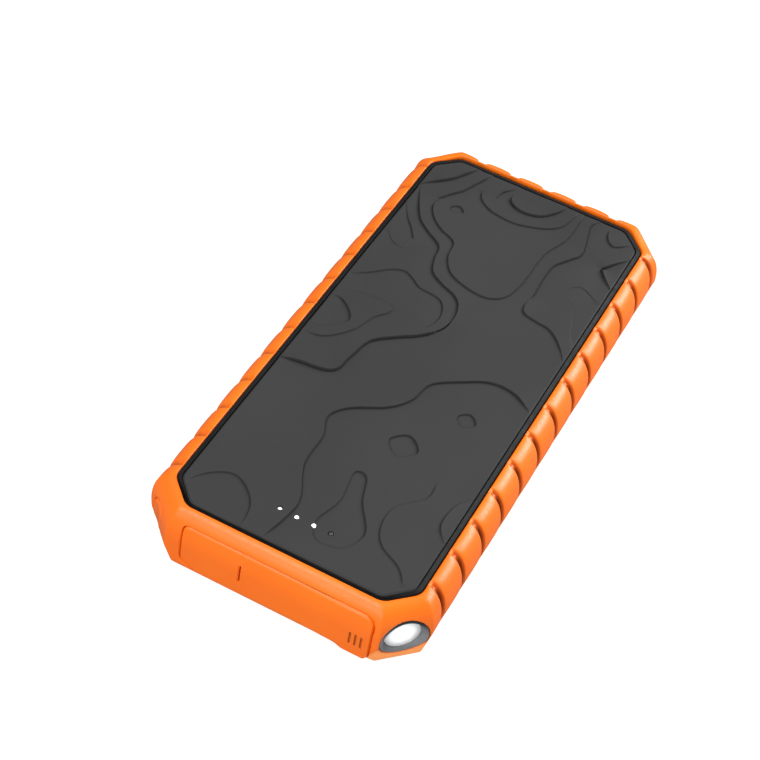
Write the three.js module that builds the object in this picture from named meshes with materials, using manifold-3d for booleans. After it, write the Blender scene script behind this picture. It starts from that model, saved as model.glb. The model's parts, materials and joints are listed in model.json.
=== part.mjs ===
// A rugged rubber-clad power bank, in millimetres, +Z up.
// The origin is the centre of the base. -Y is the end with the ports, +X the side with the torch.
import * as THREE from "three";
import { mergeVertices } from "three/addons/utils/BufferGeometryUtils.js";
import Module from "manifold-3d";

const wasm = await Module();
wasm.setup();

// ---- driving dimensions ----

const GAP = 0.3; // clearance between neighbouring pieces
const ROUND_SIDES = 16; // sides of a small round piece
const CORNER_GROWTH = 2 - Math.SQRT2; // how fast a chamfer's leg grows as its outline is offset

const BODY_HALF_WIDTH = 41;
const BODY_HALF_LENGTH = 87.6;
const BODY_CHAMFER = 10.2; // leg of the corner chamfer, seen from above
const BUMPER_TOP = 22.2;
const SHOULDER_REACH = 5.4; // how far the rounded shoulder runs in from the side
const SHOULDER_DROP = 8;
const FOOT_REACH = 3.8;
const FOOT_RISE = 12;
const FOOT_OVERHANG = 0.3; // the foot curve is cut by the side wall this far inside its full width

const DECK_Y = -0.5; // the deck sits a little nearer to the port end
const DECK_HALF_WIDTH = 35;
const DECK_HALF_LENGTH = 82.1;
const DECK_CHAMFER = 7;
const DECK_CORNER_ROUND = 1.6;
const RIM_REACH = 1.4;
const RIM_RISE = 0.7;
const PLATE_HALF_WIDTH = 33.1;
const PLATE_HALF_LENGTH = 80.8;
const PLATE_CHAMFER = 6.2;
const PLATE_UNDERSIDE = 21.4;
const PLATE_TOP = 22.9;

const LIP = 1.8; // thickness of the bumper's lips above and below the housing
const HOUSING_INSET = 4.4; // from the bumper's outside to the housing's
const HOUSING_WALL = 1.8;
const HOUSING_BOTTOM = LIP + GAP;
const FLOOR_TOP = 2.9;
const PLATEAU_BOTTOM = 0.3;
const PLATEAU_INSET = 8.3; // from the bumper's outside to the base's raised middle
const SEAM_LOW = 18.2;
const SEAM_HIGH = 18.7;
const ROOF_UNDERSIDE = 19.5;
const LID_SHOULDER = BUMPER_TOP - LIP - GAP;

const RIB_GROOVES = 13;
const RIB_PITCH = 12;
const RIB_WIDTH = 2.4;
const FIRST_GROOVE_Y = 73;
const END_GROOVES = 5;
const END_PITCH = 11;
const END_WIDTH = 3.4;

const COVER_LEFT = -26;
const COVER_RIGHT = 28.7;
const COVER_LOW = 5.3;
const COVER_HIGH = 19.1;
const COVER_DEPTH = 2.8;
const COVER_CORNER = 3;
const FOLD_X = -9;
const TAB_LEFT = 21.5;
const TAB_RIGHT = 28;
const TAB_LOW = 3.6;
const GRIP_X = 24.8;
const GRIP_PITCH = 1.6;
const GRIP_WIDTH = 0.6;
const GRIP_DEPTH = 0.5;
const GRIP_LOW = 7.4;
const GRIP_HIGH = 11.9;

const PORT_LEFT = -8.2;
const PORT_RIGHT = 27.9;
const PORT_LOW = 6.2;
const PORT_HIGH = 17.2;
const PORT_FACE_Y = -84.3;
const PORT_BACK_Y = -82.2;
const CONNECTOR_FACE_Y = -84;

const BOARD_LOW = 7.6;
const BOARD_TOP = 9.2;
const BOARD_HALF_WIDTH = 30;
const BOARD_NEAR_Y = -80.9;
const BOARD_FAR_Y = -56;
const BOARD_CORNER = 4.4;

const CONTROL_HEIGHT = 11.4; // height of the torch's and the button's centres
const TORCH_RADIUS = 6.5;
const REFLECTOR_RADIUS = 5.2;
const TORCH_HOUSING_HOLE = 5.6;
const BUTTON_SHIFT = -1; // the button sits off the middle of its corner, towards the long side
const BUTTON_WIDTH = 6.4;
const BUTTON_HEIGHT = 10;
const BUTTON_PROUD = 0.5;
const FLANGE_EXTRA = 2; // how much wider and taller the flange behind the button is
const FLANGE_FRONT = 2.2; // depth below the corner's surface
const FLANGE_BACK = 3;
const STEM_RADIUS = 1.2;
const STEM_END = 7.35;
const SWITCH_FRONT = 8.2;
const SWITCH_BACK = 11.7;

const LAMP_Y = -71;
const LAMP_PITCH = 4.9;
const LAMP_RADIUS = 0.85;

const CELL_HALF_WIDTH = 33;
const CELL_NEAR_Y = -45;
const CELL_FAR_Y = 72.8;
const CELL_THICKNESS = 7.4;
const CELL_GAP = 0.2;
const FOAM_THICKNESS = 0.6;

const HOUSING_SCREWS = [
  [-26.5, 76.3],
  [26.5, 76.3],
  [-29.5, -50.5],
  [29.5, -50.5],
];
const BOARD_SCREWS = [
  [-26, -60],
  [26, -60],
  [-13, -77],
];

// ---- materials ----

function finish(color, roughness, metalness = 0, extra = {}) {
  return new THREE.MeshStandardMaterial({ color, roughness, metalness, ...extra });
}

const orangeRubber = () => finish(0xf4691b, 0.62);
const blackPlastic = () => finish(0x1b1d1f, 0.5);
const greyPlate = () => finish(0x46474a, 0.7);
const greyBezel = () => finish(0x84868a, 0.4);
const steel = () => finish(0xb9bcc0, 0.3, 1);
const whitePlastic = () => finish(0xe9edf0, 0.4);
const darkPlastic = () => finish(0x161616, 0.6);
const greenBoard = () => finish(0x1c5a3a, 0.5);
const chipBlack = () => finish(0x202124, 0.45);
const mirrorCoat = () => finish(0xe6e8ea, 0.12, 1);
const clearLens = () => finish(0xf3f7fa, 0.08, 0, { transparent: true, opacity: 0.45 });
const pouchFoil = () => finish(0xb4b7bb, 0.35, 0.8);
const greyFoam = () => finish(0x55585c, 0.95);
const redWire = () => finish(0xb3221c, 0.55);
const blackWire = () => finish(0x18181a, 0.55);
const yellowEmitter = () => finish(0xf1d878, 0.35);

// ---- joining and cutting ----

function solidOf(geometry) {
  const bare = geometry.clone();
  bare.deleteAttribute("normal");
  bare.deleteAttribute("uv");
  const merged = mergeVertices(bare, 1e-4);
  const vertProperties = new Float32Array(merged.attributes.position.array);
  const triVerts = new Uint32Array(merged.index.array);
  return new wasm.Manifold(new wasm.Mesh({ numProp: 3, vertProperties, triVerts }));
}

function geometryOf(solid) {
  const mesh = solid.getMesh();
  const geometry = new THREE.BufferGeometry();
  geometry.setAttribute("position", new THREE.BufferAttribute(mesh.vertProperties, mesh.numProp));
  geometry.setIndex(new THREE.BufferAttribute(mesh.triVerts, 1));
  const flat = geometry.toNonIndexed();
  flat.computeVertexNormals();
  return flat;
}

function joined(...geometries) {
  return geometries.map(solidOf).reduce((whole, piece) => whole.add(piece));
}

function cut(solid, ...cutters) {
  return cutters.reduce((left, cutter) => left.subtract(solidOf(cutter)), solid);
}

// ---- outlines ----

// A closed outline through the points, with every corner rounded over the given length of its edges.
function softOutline(points, rounding = 0) {
  const shape = new THREE.Shape();
  const corners = points.map(([x, y]) => new THREE.Vector2(x, y));
  corners.forEach((corner, i) => {
    const before = corners[(i + corners.length - 1) % corners.length];
    const after = corners[(i + 1) % corners.length];
    const entry = corner.clone().add(before.clone().sub(corner).setLength(rounding));
    const exit = corner.clone().add(after.clone().sub(corner).setLength(rounding));
    if (i === 0) shape.moveTo(entry.x, entry.y);
    else shape.lineTo(entry.x, entry.y);
    if (rounding > 0) shape.quadraticCurveTo(corner.x, corner.y, exit.x, exit.y);
  });
  shape.closePath();
  return shape;
}

function octagon(halfX, halfY, leg, centreY = 0, rounding = 0) {
  const points = [
    [halfX, leg - halfY],
    [halfX, halfY - leg],
    [halfX - leg, halfY],
    [leg - halfX, halfY],
    [-halfX, halfY - leg],
    [-halfX, leg - halfY],
    [leg - halfX, -halfY],
    [halfX - leg, -halfY],
  ];
  return softOutline(points.map(([x, y]) => [x, y + centreY]), rounding);
}

// The body's outline moved inwards by inset.
function bodyOutline(inset, rounding = 0) {
  const leg = BODY_CHAMFER - CORNER_GROWTH * inset;
  return octagon(BODY_HALF_WIDTH - inset, BODY_HALF_LENGTH - inset, leg, 0, rounding);
}

function deckOutline(inset, rounding = DECK_CORNER_ROUND) {
  const leg = DECK_CHAMFER - CORNER_GROWTH * inset;
  return octagon(DECK_HALF_WIDTH - inset, DECK_HALF_LENGTH - inset, leg, DECK_Y, rounding);
}

function plateOutline(inset) {
  const leg = PLATE_CHAMFER - CORNER_GROWTH * inset;
  const halfX = PLATE_HALF_WIDTH - inset;
  return octagon(halfX, PLATE_HALF_LENGTH - inset, leg, DECK_Y, DECK_CORNER_ROUND);
}

// A stadium: a rectangle with half-round ends, upright when height is the larger side.
function stadium(width, height) {
  const radius = Math.min(width, height) / 2;
  const alongX = Math.max(0, width / 2 - radius);
  const alongY = Math.max(0, height / 2 - radius);
  const shape = new THREE.Shape();
  shape.absarc(alongX, alongY, radius, 0, Math.PI / 2, false);
  shape.absarc(-alongX, alongY, radius, Math.PI / 2, Math.PI, false);
  shape.absarc(-alongX, -alongY, radius, Math.PI, 1.5 * Math.PI, false);
  shape.absarc(alongX, -alongY, radius, 1.5 * Math.PI, 2 * Math.PI, false);
  return shape;
}

// ---- basic solids ----

function slab(shape, low, high, curveSegments = 4) {
  const options = { depth: high - low, bevelEnabled: false, curveSegments };
  return new THREE.ExtrudeGeometry(shape, options).translate(0, 0, low);
}

// A slab whose edges are rounded outwards from the given outline by reach over rise.
function crownedSlab(shape, low, high, reach, rise, bevelSegments) {
  const options = {
    depth: high - low - 2 * rise,
    bevelEnabled: true,
    bevelSize: reach,
    bevelThickness: rise,
    bevelSegments,
    curveSegments: 2,
  };
  return new THREE.ExtrudeGeometry(shape, options).translate(0, 0, low + rise);
}

function block(x, y, z) {
  const size = [x, y, z].map(([low, high]) => high - low);
  const centre = [x, y, z].map(([low, high]) => (low + high) / 2);
  return new THREE.BoxGeometry(...size).translate(...centre);
}

function post(radius, x, y, low, high, sides = ROUND_SIDES) {
  const geometry = new THREE.CylinderGeometry(radius, radius, high - low, sides);
  return geometry.rotateX(Math.PI / 2).translate(x, y, (low + high) / 2);
}

// An outline drawn in X and Z, extruded along Y.
function slabAlongY(shape, near, far, curveSegments = 4) {
  const options = { depth: far - near, bevelEnabled: false, curveSegments };
  return new THREE.ExtrudeGeometry(shape, options).rotateX(Math.PI / 2).translate(0, far, 0);
}

// An outline drawn in Y and Z, extruded along X.
function slabAlongX(shape, left, right) {
  const options = { depth: right - left, bevelEnabled: false };
  const turn = new THREE.Matrix4().makeBasis(
    new THREE.Vector3(0, 1, 0),
    new THREE.Vector3(0, 0, 1),
    new THREE.Vector3(1, 0, 0),
  );
  return new THREE.ExtrudeGeometry(shape, options).applyMatrix4(turn).translate(left, 0, 0);
}

// A piece turned about Z: the (radius, height) pairs run round its section, upwards on the outside.
function turned(profile, sides = ROUND_SIDES) {
  const points = profile.map(([radius, height]) => new THREE.Vector2(radius, height));
  return new THREE.LatheGeometry(points, sides).rotateX(Math.PI / 2);
}

// ---- the scene graph ----

const powerBank = new THREE.Group();

function place(name, shape, material, parent = powerBank) {
  const geometry = shape.isBufferGeometry ? shape : geometryOf(shape);
  const mesh = new THREE.Mesh(geometry, material);
  mesh.name = name;
  parent.add(mesh);
  return mesh;
}

// A frame on a near corner: X along the chamfer, Y up, Z out of the body, on the chamfer's surface.
function cornerFrame(side, shift = 0) {
  const group = new THREE.Group();
  const middle = new THREE.Vector3(
    side * (BODY_HALF_WIDTH - BODY_CHAMFER / 2),
    BODY_CHAMFER / 2 - BODY_HALF_LENGTH,
    CONTROL_HEIGHT,
  );
  const along = new THREE.Vector3(1, side, 0).normalize();
  const out = new THREE.Vector3(side, -1, 0).normalize();
  const basis = new THREE.Matrix4().makeBasis(along, new THREE.Vector3(0, 0, 1), out);
  group.quaternion.setFromRotationMatrix(basis);
  group.position.copy(middle).addScaledVector(along, shift);
  powerBank.add(group);
  group.updateMatrixWorld(true);
  return group;
}

const torchCorner = cornerFrame(1);
const buttonCorner = cornerFrame(-1, BUTTON_SHIFT);

const inFrame = (group, geometry) => geometry.applyMatrix4(group.matrixWorld);

// ---- bumper ----

function bumperBody() {
  const shoulder = crownedSlab(
    bodyOutline(SHOULDER_REACH),
    -BUMPER_TOP,
    BUMPER_TOP,
    SHOULDER_REACH,
    SHOULDER_DROP,
    4,
  );
  const foot = crownedSlab(
    bodyOutline(FOOT_REACH - FOOT_OVERHANG),
    0,
    3 * BUMPER_TOP,
    FOOT_REACH,
    FOOT_RISE,
    4,
  );
  return solidOf(shoulder).intersect(solidOf(foot));
}

// The space outside a groove's floor: it starts at the deck's edge and follows the shoulder down.
function grooveProfile(surface, depth) {
  const floor = surface - depth;
  return softOutline([
    [surface - 5.3, BUMPER_TOP + 1],
    [surface - 5.3, BUMPER_TOP - 0.2],
    [floor - 1.4, BUMPER_TOP - 1],
    [floor - 0.4, BUMPER_TOP - 3],
    [floor, BUMPER_TOP - 5.6],
    [floor, 2.4],
    [surface + 2, 2.4],
    [surface + 2, BUMPER_TOP + 1],
  ]);
}

function sideGrooves() {
  const profile = grooveProfile(BODY_HALF_WIDTH, 1.9);
  const cutters = [];
  for (let i = 0; i < RIB_GROOVES; i += 1) {
    const y = FIRST_GROOVE_Y - i * RIB_PITCH;
    const groove = slabAlongY(profile, y - RIB_WIDTH / 2, y + RIB_WIDTH / 2);
    cutters.push(groove, groove.clone().rotateZ(Math.PI).translate(0, 2 * y, 0));
  }
  return cutters;
}

function endGrooves() {
  const profile = grooveProfile(BODY_HALF_LENGTH, 1.8);
  const cutters = [];
  for (let i = 0; i < END_GROOVES; i += 1) {
    const x = (i - (END_GROOVES - 1) / 2) * END_PITCH;
    cutters.push(slabAlongX(profile, x - END_WIDTH / 2, x + END_WIDTH / 2));
  }
  return cutters;
}

function housingSpace() {
  return [
    slab(bodyOutline(HOUSING_INSET - GAP), LIP, BUMPER_TOP - LIP),
    slab(deckOutline(-GAP), LIP + 1, BUMPER_TOP + 1, 2),
    slab(bodyOutline(PLATEAU_INSET - GAP), -1, LIP + 1),
  ];
}

function coverRecess() {
  const surround = softOutline(
    [
      [COVER_LEFT - GAP, COVER_LOW - GAP],
      [COVER_RIGHT + GAP, COVER_LOW - GAP],
      [COVER_RIGHT + GAP, COVER_HIGH + GAP],
      [COVER_LEFT - GAP, COVER_HIGH + GAP],
    ],
    COVER_CORNER,
  );
  const back = COVER_DEPTH + GAP - BODY_HALF_LENGTH;
  const near = -BODY_HALF_LENGTH - 1;
  const tab = [TAB_LEFT - GAP, TAB_RIGHT + GAP];
  return [
    slabAlongY(surround, near, back),
    block(tab, [near, back], [TAB_LOW - GAP, COVER_LOW + 1]),
    block([PORT_LEFT - GAP, PORT_RIGHT + GAP], [near, -82], [PORT_LOW - GAP, PORT_HIGH + GAP]),
  ];
}

const CUTTER_OUT = 2; // how far a corner's cutters stand out of the body
const CUTTER_IN = 6; // and how far they reach through the bumper's wall

function torchHole() {
  return inFrame(torchCorner, post(TORCH_RADIUS + GAP, 0, 0, -CUTTER_IN, CUTTER_OUT, 32));
}

function buttonOutline(extra) {
  return stadium(BUTTON_WIDTH + extra, BUTTON_HEIGHT + extra);
}

function buttonHoles() {
  const pocketTop = GAP - FLANGE_FRONT;
  return [
    inFrame(buttonCorner, slab(buttonOutline(2 * GAP), -CUTTER_IN, CUTTER_OUT, 6)),
    inFrame(buttonCorner, slab(buttonOutline(FLANGE_EXTRA + 2 * GAP), -CUTTER_IN, pocketTop, 6)),
  ];
}

function bumper() {
  return cut(
    bumperBody(),
    ...housingSpace(),
    ...sideGrooves(),
    ...endGrooves(),
    ...coverRecess(),
    torchHole(),
    ...buttonHoles(),
  );
}

place("bumper", bumper(), orangeRubber());

// ---- deck ----

function lampXs() {
  return [-1.5, -0.5, 0.5, 1.5].map((step) => step * LAMP_PITCH);
}

function lampHoles(low, high) {
  return lampXs().map((x) => post(LAMP_RADIUS + GAP, x, LAMP_Y, low, high));
}

// A closed smooth outline through the points, on the deck.
function deckCurve(points, closed = true) {
  const knots = points.map(([x, y]) => new THREE.Vector3(x, y + DECK_Y, 0));
  const curve = new THREE.CatmullRomCurve3(knots, closed, "centripetal");
  const outline = curve.getPoints(points.length * 2).slice(0, -1);
  return new THREE.Shape(outline.map((p) => new THREE.Vector2(p.x, p.y)));
}

const HILL = [
  [-17, 84],
  [-17, 71],
  [-11, 66],
  [0, 66],
  [10, 70],
  [12, 84],
];
const SUMMIT = [
  [-5, 84],
  [-7, 75],
  [-3, 70.5],
  [4, 73],
  [8, 84],
];
const BASIN = [
  [36, -4],
  [22, 0.6],
  [8.5, -7.5],
  [4, -18],
  [-8.5, -30],
  [-11, -40],
  [-9, -56],
  [-4, -68],
  [-6.5, -84],
  [36, -84],
];

function deckPlate() {
  const plate = slab(plateOutline(0), PLATE_UNDERSIDE, PLATE_TOP, 2);
  const footprint = solidOf(slab(plateOutline(0), PLATE_UNDERSIDE, PLATE_TOP + 1, 2));
  const hill = solidOf(slab(deckCurve(HILL), PLATE_TOP - 0.5, PLATE_TOP + 0.15));
  const summit = solidOf(slab(deckCurve(SUMMIT), PLATE_TOP - 0.5, PLATE_TOP + 0.3));
  const raised = solidOf(plate).add(hill.intersect(footprint)).add(summit.intersect(footprint));
  const basin = slab(deckCurve(BASIN), PLATE_TOP - 0.3, PLATE_TOP + 1);
  return cut(raised, basin, ...lampHoles(PLATE_UNDERSIDE - 1, PLATE_TOP + 1));
}

place("deck_plate", deckPlate(), greyPlate());

// ---- housing ----

function topHousing() {
  const shoulder = slab(bodyOutline(HOUSING_INSET), SEAM_HIGH, LID_SHOULDER);
  const rim = crownedSlab(
    deckOutline(RIM_REACH),
    SEAM_HIGH - 2,
    BUMPER_TOP + RIM_RISE,
    RIM_REACH,
    RIM_RISE,
    1,
  );
  const below = slab(bodyOutline(0), 0, SEAM_HIGH);
  const pocket = slab(plateOutline(-GAP), PLATE_UNDERSIDE, PLATE_TOP + 1, 2);
  const inside = slab(bodyOutline(HOUSING_INSET + HOUSING_WALL), SEAM_LOW, ROOF_UNDERSIDE);
  const shell = cut(joined(shoulder, rim), below, pocket, inside, ...lampHoles(0, PLATE_TOP));
  const bosses = HOUSING_SCREWS.map(([x, y]) => post(2.4, x, y, SEAM_HIGH, ROOF_UNDERSIDE + 0.5));
  const threads = HOUSING_SCREWS.map(([x, y]) => post(1, x, y, 0, 20.9));
  return cut(bosses.map(solidOf).reduce((whole, boss) => whole.add(boss), shell), ...threads);
}

function screwBosses() {
  return HOUSING_SCREWS.map(([x, y]) => post(2.4, x, y, FLOOR_TOP - 1, SEAM_LOW));
}

function boardPosts() {
  return BOARD_SCREWS.map(([x, y]) => post(2.2, x, y, FLOOR_TOP - 1, BOARD_LOW));
}

function bottomHousing() {
  const shell = cut(
    joined(
      slab(bodyOutline(HOUSING_INSET), HOUSING_BOTTOM, SEAM_LOW),
      slab(bodyOutline(PLATEAU_INSET), PLATEAU_BOTTOM, HOUSING_BOTTOM + 0.5),
    ),
    slab(bodyOutline(HOUSING_INSET + HOUSING_WALL), FLOOR_TOP, SEAM_LOW + 1),
  );
  const posts = [...screwBosses(), ...boardPosts()].map(solidOf);
  const screwHoles = HOUSING_SCREWS.flatMap(([x, y]) => [
    post(1.2, x, y, -1, SEAM_LOW + 1),
    post(2.2, x, y, -1, 2),
  ]);
  const boardHoles = BOARD_SCREWS.map(([x, y]) => post(0.9, x, y, 4, BOARD_LOW + 1));
  const portOpening = block(
    [PORT_LEFT - GAP, PORT_RIGHT + GAP],
    [-BODY_HALF_LENGTH, -80],
    [PORT_LOW - GAP, PORT_HIGH + GAP],
  );
  return cut(
    posts.reduce((whole, piece) => whole.add(piece), shell),
    ...screwHoles,
    ...boardHoles,
    portOpening,
    inFrame(torchCorner, post(TORCH_HOUSING_HOLE, 0, 0, -9, 0, 24)),
    inFrame(buttonCorner, post(STEM_RADIUS + GAP, 0, 0, -9, 0)),
  );
}

function housingSeal() {
  const ring = slab(bodyOutline(HOUSING_INSET + 0.2), SEAM_LOW, SEAM_HIGH);
  return cut(solidOf(ring), slab(bodyOutline(HOUSING_INSET + 1.6), SEAM_LOW - 1, SEAM_HIGH + 1));
}

place("top_housing", topHousing(), blackPlastic());
place("bottom_housing", bottomHousing(), blackPlastic());
place("housing_seal", housingSeal(), darkPlastic());

// ---- port cover ----

function coverOutline(left, right, roundLeft) {
  const shape = new THREE.Shape();
  const r = COVER_CORNER;
  const leftRound = roundLeft ? r : 0;
  const rightRound = roundLeft ? 0 : r;
  shape.moveTo(left + leftRound, COVER_LOW);
  shape.lineTo(right - rightRound, COVER_LOW);
  if (!roundLeft) shape.quadraticCurveTo(right, COVER_LOW, right, COVER_LOW + r);
  shape.lineTo(right, COVER_HIGH - rightRound);
  if (!roundLeft) shape.quadraticCurveTo(right, COVER_HIGH, right - r, COVER_HIGH);
  shape.lineTo(left + leftRound, COVER_HIGH);
  if (roundLeft) shape.quadraticCurveTo(left, COVER_HIGH, left, COVER_HIGH - r);
  shape.lineTo(left, COVER_LOW + leftRound);
  if (roundLeft) shape.quadraticCurveTo(left, COVER_LOW, left + r, COVER_LOW);
  return shape;
}

const COVER_SPAN = [-BODY_HALF_LENGTH - 1, COVER_DEPTH - BODY_HALF_LENGTH];

// The cover is cut by the body's own surface, so it lies flush with the shoulder above it.
const flushWithBody = (geometry) => solidOf(geometry).intersect(bumperBody());

function gripGrooves() {
  return [-1, 0, 1].map((step) => {
    const x = GRIP_X + step * GRIP_PITCH;
    const span = [-BODY_HALF_LENGTH - 1, GRIP_DEPTH - BODY_HALF_LENGTH];
    return block([x - GRIP_WIDTH / 2, x + GRIP_WIDTH / 2], span, [GRIP_LOW, GRIP_HIGH]);
  });
}

function portCover() {
  const flap = slabAlongY(coverOutline(FOLD_X + GAP / 2, COVER_RIGHT, false), ...COVER_SPAN);
  const tab = block([TAB_LEFT, TAB_RIGHT], COVER_SPAN, [TAB_LOW, COVER_LOW + 1]);
  return cut(flushWithBody(flap).add(flushWithBody(tab)), ...gripGrooves());
}

function coverAnchor() {
  const fixedEnd = slabAlongY(coverOutline(COVER_LEFT, FOLD_X - GAP / 2, true), ...COVER_SPAN);
  return flushWithBody(fixedEnd);
}

place("port_cover", portCover(), orangeRubber());
place("port_cover_anchor", coverAnchor(), orangeRubber());

// ---- sockets ----

const USB_A = { x: 2, width: 13.1, height: 5.7, back: -72.2 };
const USB_C = { x: 20.5, width: 8.94, height: 3.26, back: -76.6 };
const SHEET = 0.3; // thickness of the sockets' steel

const middleHeight = (socket) => BOARD_TOP + socket.height / 2;

function aOutline(inset) {
  const halfX = USB_A.width / 2 - inset;
  const halfZ = USB_A.height / 2 - inset;
  const points = [
    [-halfX, -halfZ],
    [halfX, -halfZ],
    [halfX, halfZ],
    [-halfX, halfZ],
  ];
  return softOutline(points, 0.5);
}

function cOutline(inset) {
  return stadium(USB_C.width - 2 * inset, USB_C.height - 2 * inset);
}

function onSocket(socket, geometry) {
  return geometry.translate(socket.x, 0, middleHeight(socket));
}

function socketShell(socket, outline) {
  const outside = slabAlongY(outline(0), CONNECTOR_FACE_Y, socket.back);
  const inside = slabAlongY(outline(SHEET), CONNECTOR_FACE_Y - 1, socket.back + 1);
  return cut(solidOf(onSocket(socket, outside)), onSocket(socket, inside));
}

function socketInsulator(socket, outline, tongue, blockDepth) {
  const back = socket.back - 0.1;
  const plug = slabAlongY(outline(SHEET + 0.1), back - blockDepth, back);
  const halfWidth = tongue.width / 2;
  const span = [CONNECTOR_FACE_Y + 0.6, back - blockDepth / 2];
  const blade = block([-halfWidth, halfWidth], span, [tongue.low, tongue.high]);
  return joined(onSocket(socket, plug), onSocket(socket, blade));
}

function portPlate() {
  const plate = block([PORT_LEFT, PORT_RIGHT], [PORT_FACE_Y, PORT_BACK_Y], [PORT_LOW, PORT_HIGH]);
  const span = [PORT_FACE_Y - 1, PORT_BACK_Y + 1];
  return cut(
    solidOf(plate),
    onSocket(USB_A, slabAlongY(aOutline(-0.1), ...span)),
    onSocket(USB_C, slabAlongY(cOutline(-0.1), ...span)),
    block([PORT_LEFT - 1, PORT_RIGHT + 1], [BOARD_NEAR_Y - 0.3, 0], [BOARD_LOW - 1, BOARD_TOP]),
  );
}

place("port_plate", portPlate(), blackPlastic());
place("usb_a_shell", socketShell(USB_A, aOutline), steel());
place(
  "usb_a_insulator",
  socketInsulator(USB_A, aOutline, { width: 11.1, low: 0.2, high: 2 }, 3),
  whitePlastic(),
);
place("usb_c_shell", socketShell(USB_C, cOutline), steel());
place(
  "usb_c_insulator",
  socketInsulator(USB_C, cOutline, { width: 6.7, low: -0.35, high: 0.35 }, 2),
  darkPlastic(),
);

// ---- circuit board ----

function mainBoard() {
  const outline = softOutline([
    [BOARD_CORNER - BOARD_HALF_WIDTH, BOARD_NEAR_Y],
    [BOARD_HALF_WIDTH - BOARD_CORNER, BOARD_NEAR_Y],
    [BOARD_HALF_WIDTH, BOARD_NEAR_Y + BOARD_CORNER],
    [BOARD_HALF_WIDTH, BOARD_FAR_Y],
    [-BOARD_HALF_WIDTH, BOARD_FAR_Y],
    [-BOARD_HALF_WIDTH, BOARD_NEAR_Y + BOARD_CORNER],
  ]);
  const holes = BOARD_SCREWS.map(([x, y]) => post(1.2, x, y, BOARD_LOW - 1, BOARD_TOP + 1));
  return cut(solidOf(slab(outline, BOARD_LOW, BOARD_TOP)), ...holes);
}

function onBoard(width, depth, height, x, y) {
  const halfX = width / 2;
  const halfY = depth / 2;
  return block([x - halfX, x + halfX], [y - halfY, y + halfY], [BOARD_TOP, BOARD_TOP + height]);
}

place("main_board", mainBoard(), greenBoard());
place("charge_controller", onBoard(6, 6, 0.9, -20, -68), chipBlack());
place("output_controller", onBoard(5, 5, 0.9, 21, -66), chipBlack());
place("power_inductor", onBoard(10, 10, 4.2, -8, -62.4), chipBlack());
place("capacitor_1", post(2.5, 5, -61.5, BOARD_TOP, BOARD_TOP + 6), steel());
place("capacitor_2", post(2.5, 11.5, -61.5, BOARD_TOP, BOARD_TOP + 6), steel());

// ---- charge lamps ----

const PIPE_LOW = 15.6;
const PIPE_FLANGE = [18.4, 19.2];
const PIPE_FLANGE_RADIUS = 1.5;

function lightPipe() {
  return turned([
    [0, PIPE_LOW],
    [LAMP_RADIUS, PIPE_LOW],
    [LAMP_RADIUS, PIPE_FLANGE[0]],
    [PIPE_FLANGE_RADIUS, PIPE_FLANGE[0]],
    [PIPE_FLANGE_RADIUS, PIPE_FLANGE[1]],
    [LAMP_RADIUS, PIPE_FLANGE[1]],
    [LAMP_RADIUS, PLATE_TOP],
    [0, PLATE_TOP],
  ]);
}

lampXs().forEach((x, i) => {
  place("light_pipe_" + (i + 1), lightPipe(), whitePlastic()).position.set(x, LAMP_Y, 0);
  place("indicator_led_" + (i + 1), onBoard(1.6, 0.8, 0.7, x, LAMP_Y), yellowEmitter());
});

// ---- torch: heights are along the corner's normal, zero on the bumper's surface ----

const TORCH_PIECES = {
  torch_bezel: [
    [TORCH_RADIUS, -4.1],
    [TORCH_RADIUS, -0.3],
    [6.2, 0],
    [6, 0],
    [4.8, -2],
    [4.8, -4.1],
    [TORCH_RADIUS, -4.1],
  ],
  torch_lens: [
    [0, -3.4],
    [4.5, -3.4],
    [4.5, -2.4],
    [3, -2.1],
    [0, -1.9],
  ],
  torch_reflector: [
    [1.6, -6.5],
    [REFLECTOR_RADIUS, -6.5],
    [REFLECTOR_RADIUS, -4.5],
    [4.5, -4.5],
    [3.4, -5.6],
    [1.6, -6.3],
    [1.6, -6.5],
  ],
  torch_board: [
    [0, -7.8],
    [5, -7.8],
    [5, -6.8],
    [0, -6.8],
  ],
  torch_led: [
    [0, -6.7],
    [1.2, -6.7],
    [1.2, -6.2],
    [0.8, -5.8],
    [0, -5.6],
  ],
};
const TORCH_FINISHES = {
  torch_bezel: greyBezel,
  torch_lens: clearLens,
  torch_reflector: mirrorCoat,
  torch_board: greenBoard,
  torch_led: yellowEmitter,
};

for (const [name, profile] of Object.entries(TORCH_PIECES)) {
  place(name, turned(profile, 32), TORCH_FINISHES[name](), torchCorner);
}

// ---- button ----

function powerButton() {
  return joined(
    slab(buttonOutline(0), -FLANGE_FRONT - 0.2, BUTTON_PROUD, 6),
    slab(buttonOutline(FLANGE_EXTRA), -FLANGE_BACK, -FLANGE_FRONT, 6),
    post(STEM_RADIUS, 0, 0, -STEM_END, -FLANGE_BACK + 0.4),
  );
}

function switchBody() {
  const foot = BOARD_TOP - CONTROL_HEIGHT + 0.05;
  return cut(
    solidOf(block([-3, 3], [foot, 1.9], [-SWITCH_BACK, -SWITCH_FRONT])),
    block([-1.6, 1.6], [-1.1, 1.1], [-9.9, 1 - SWITCH_FRONT]),
  );
}

place("power_button", powerButton(), orangeRubber(), buttonCorner);
place("switch_body", switchBody(), darkPlastic(), buttonCorner);
place("switch_plunger", block([-1.3, 1.3], [-0.8, 0.8], [-9.3, -7.4]), whitePlastic(), buttonCorner);

// ---- battery ----

function cellOutline() {
  const points = [
    [-CELL_HALF_WIDTH, CELL_NEAR_Y],
    [CELL_HALF_WIDTH, CELL_NEAR_Y],
    [CELL_HALF_WIDTH, CELL_FAR_Y],
    [-CELL_HALF_WIDTH, CELL_FAR_Y],
  ];
  return softOutline(points, 2);
}

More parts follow.
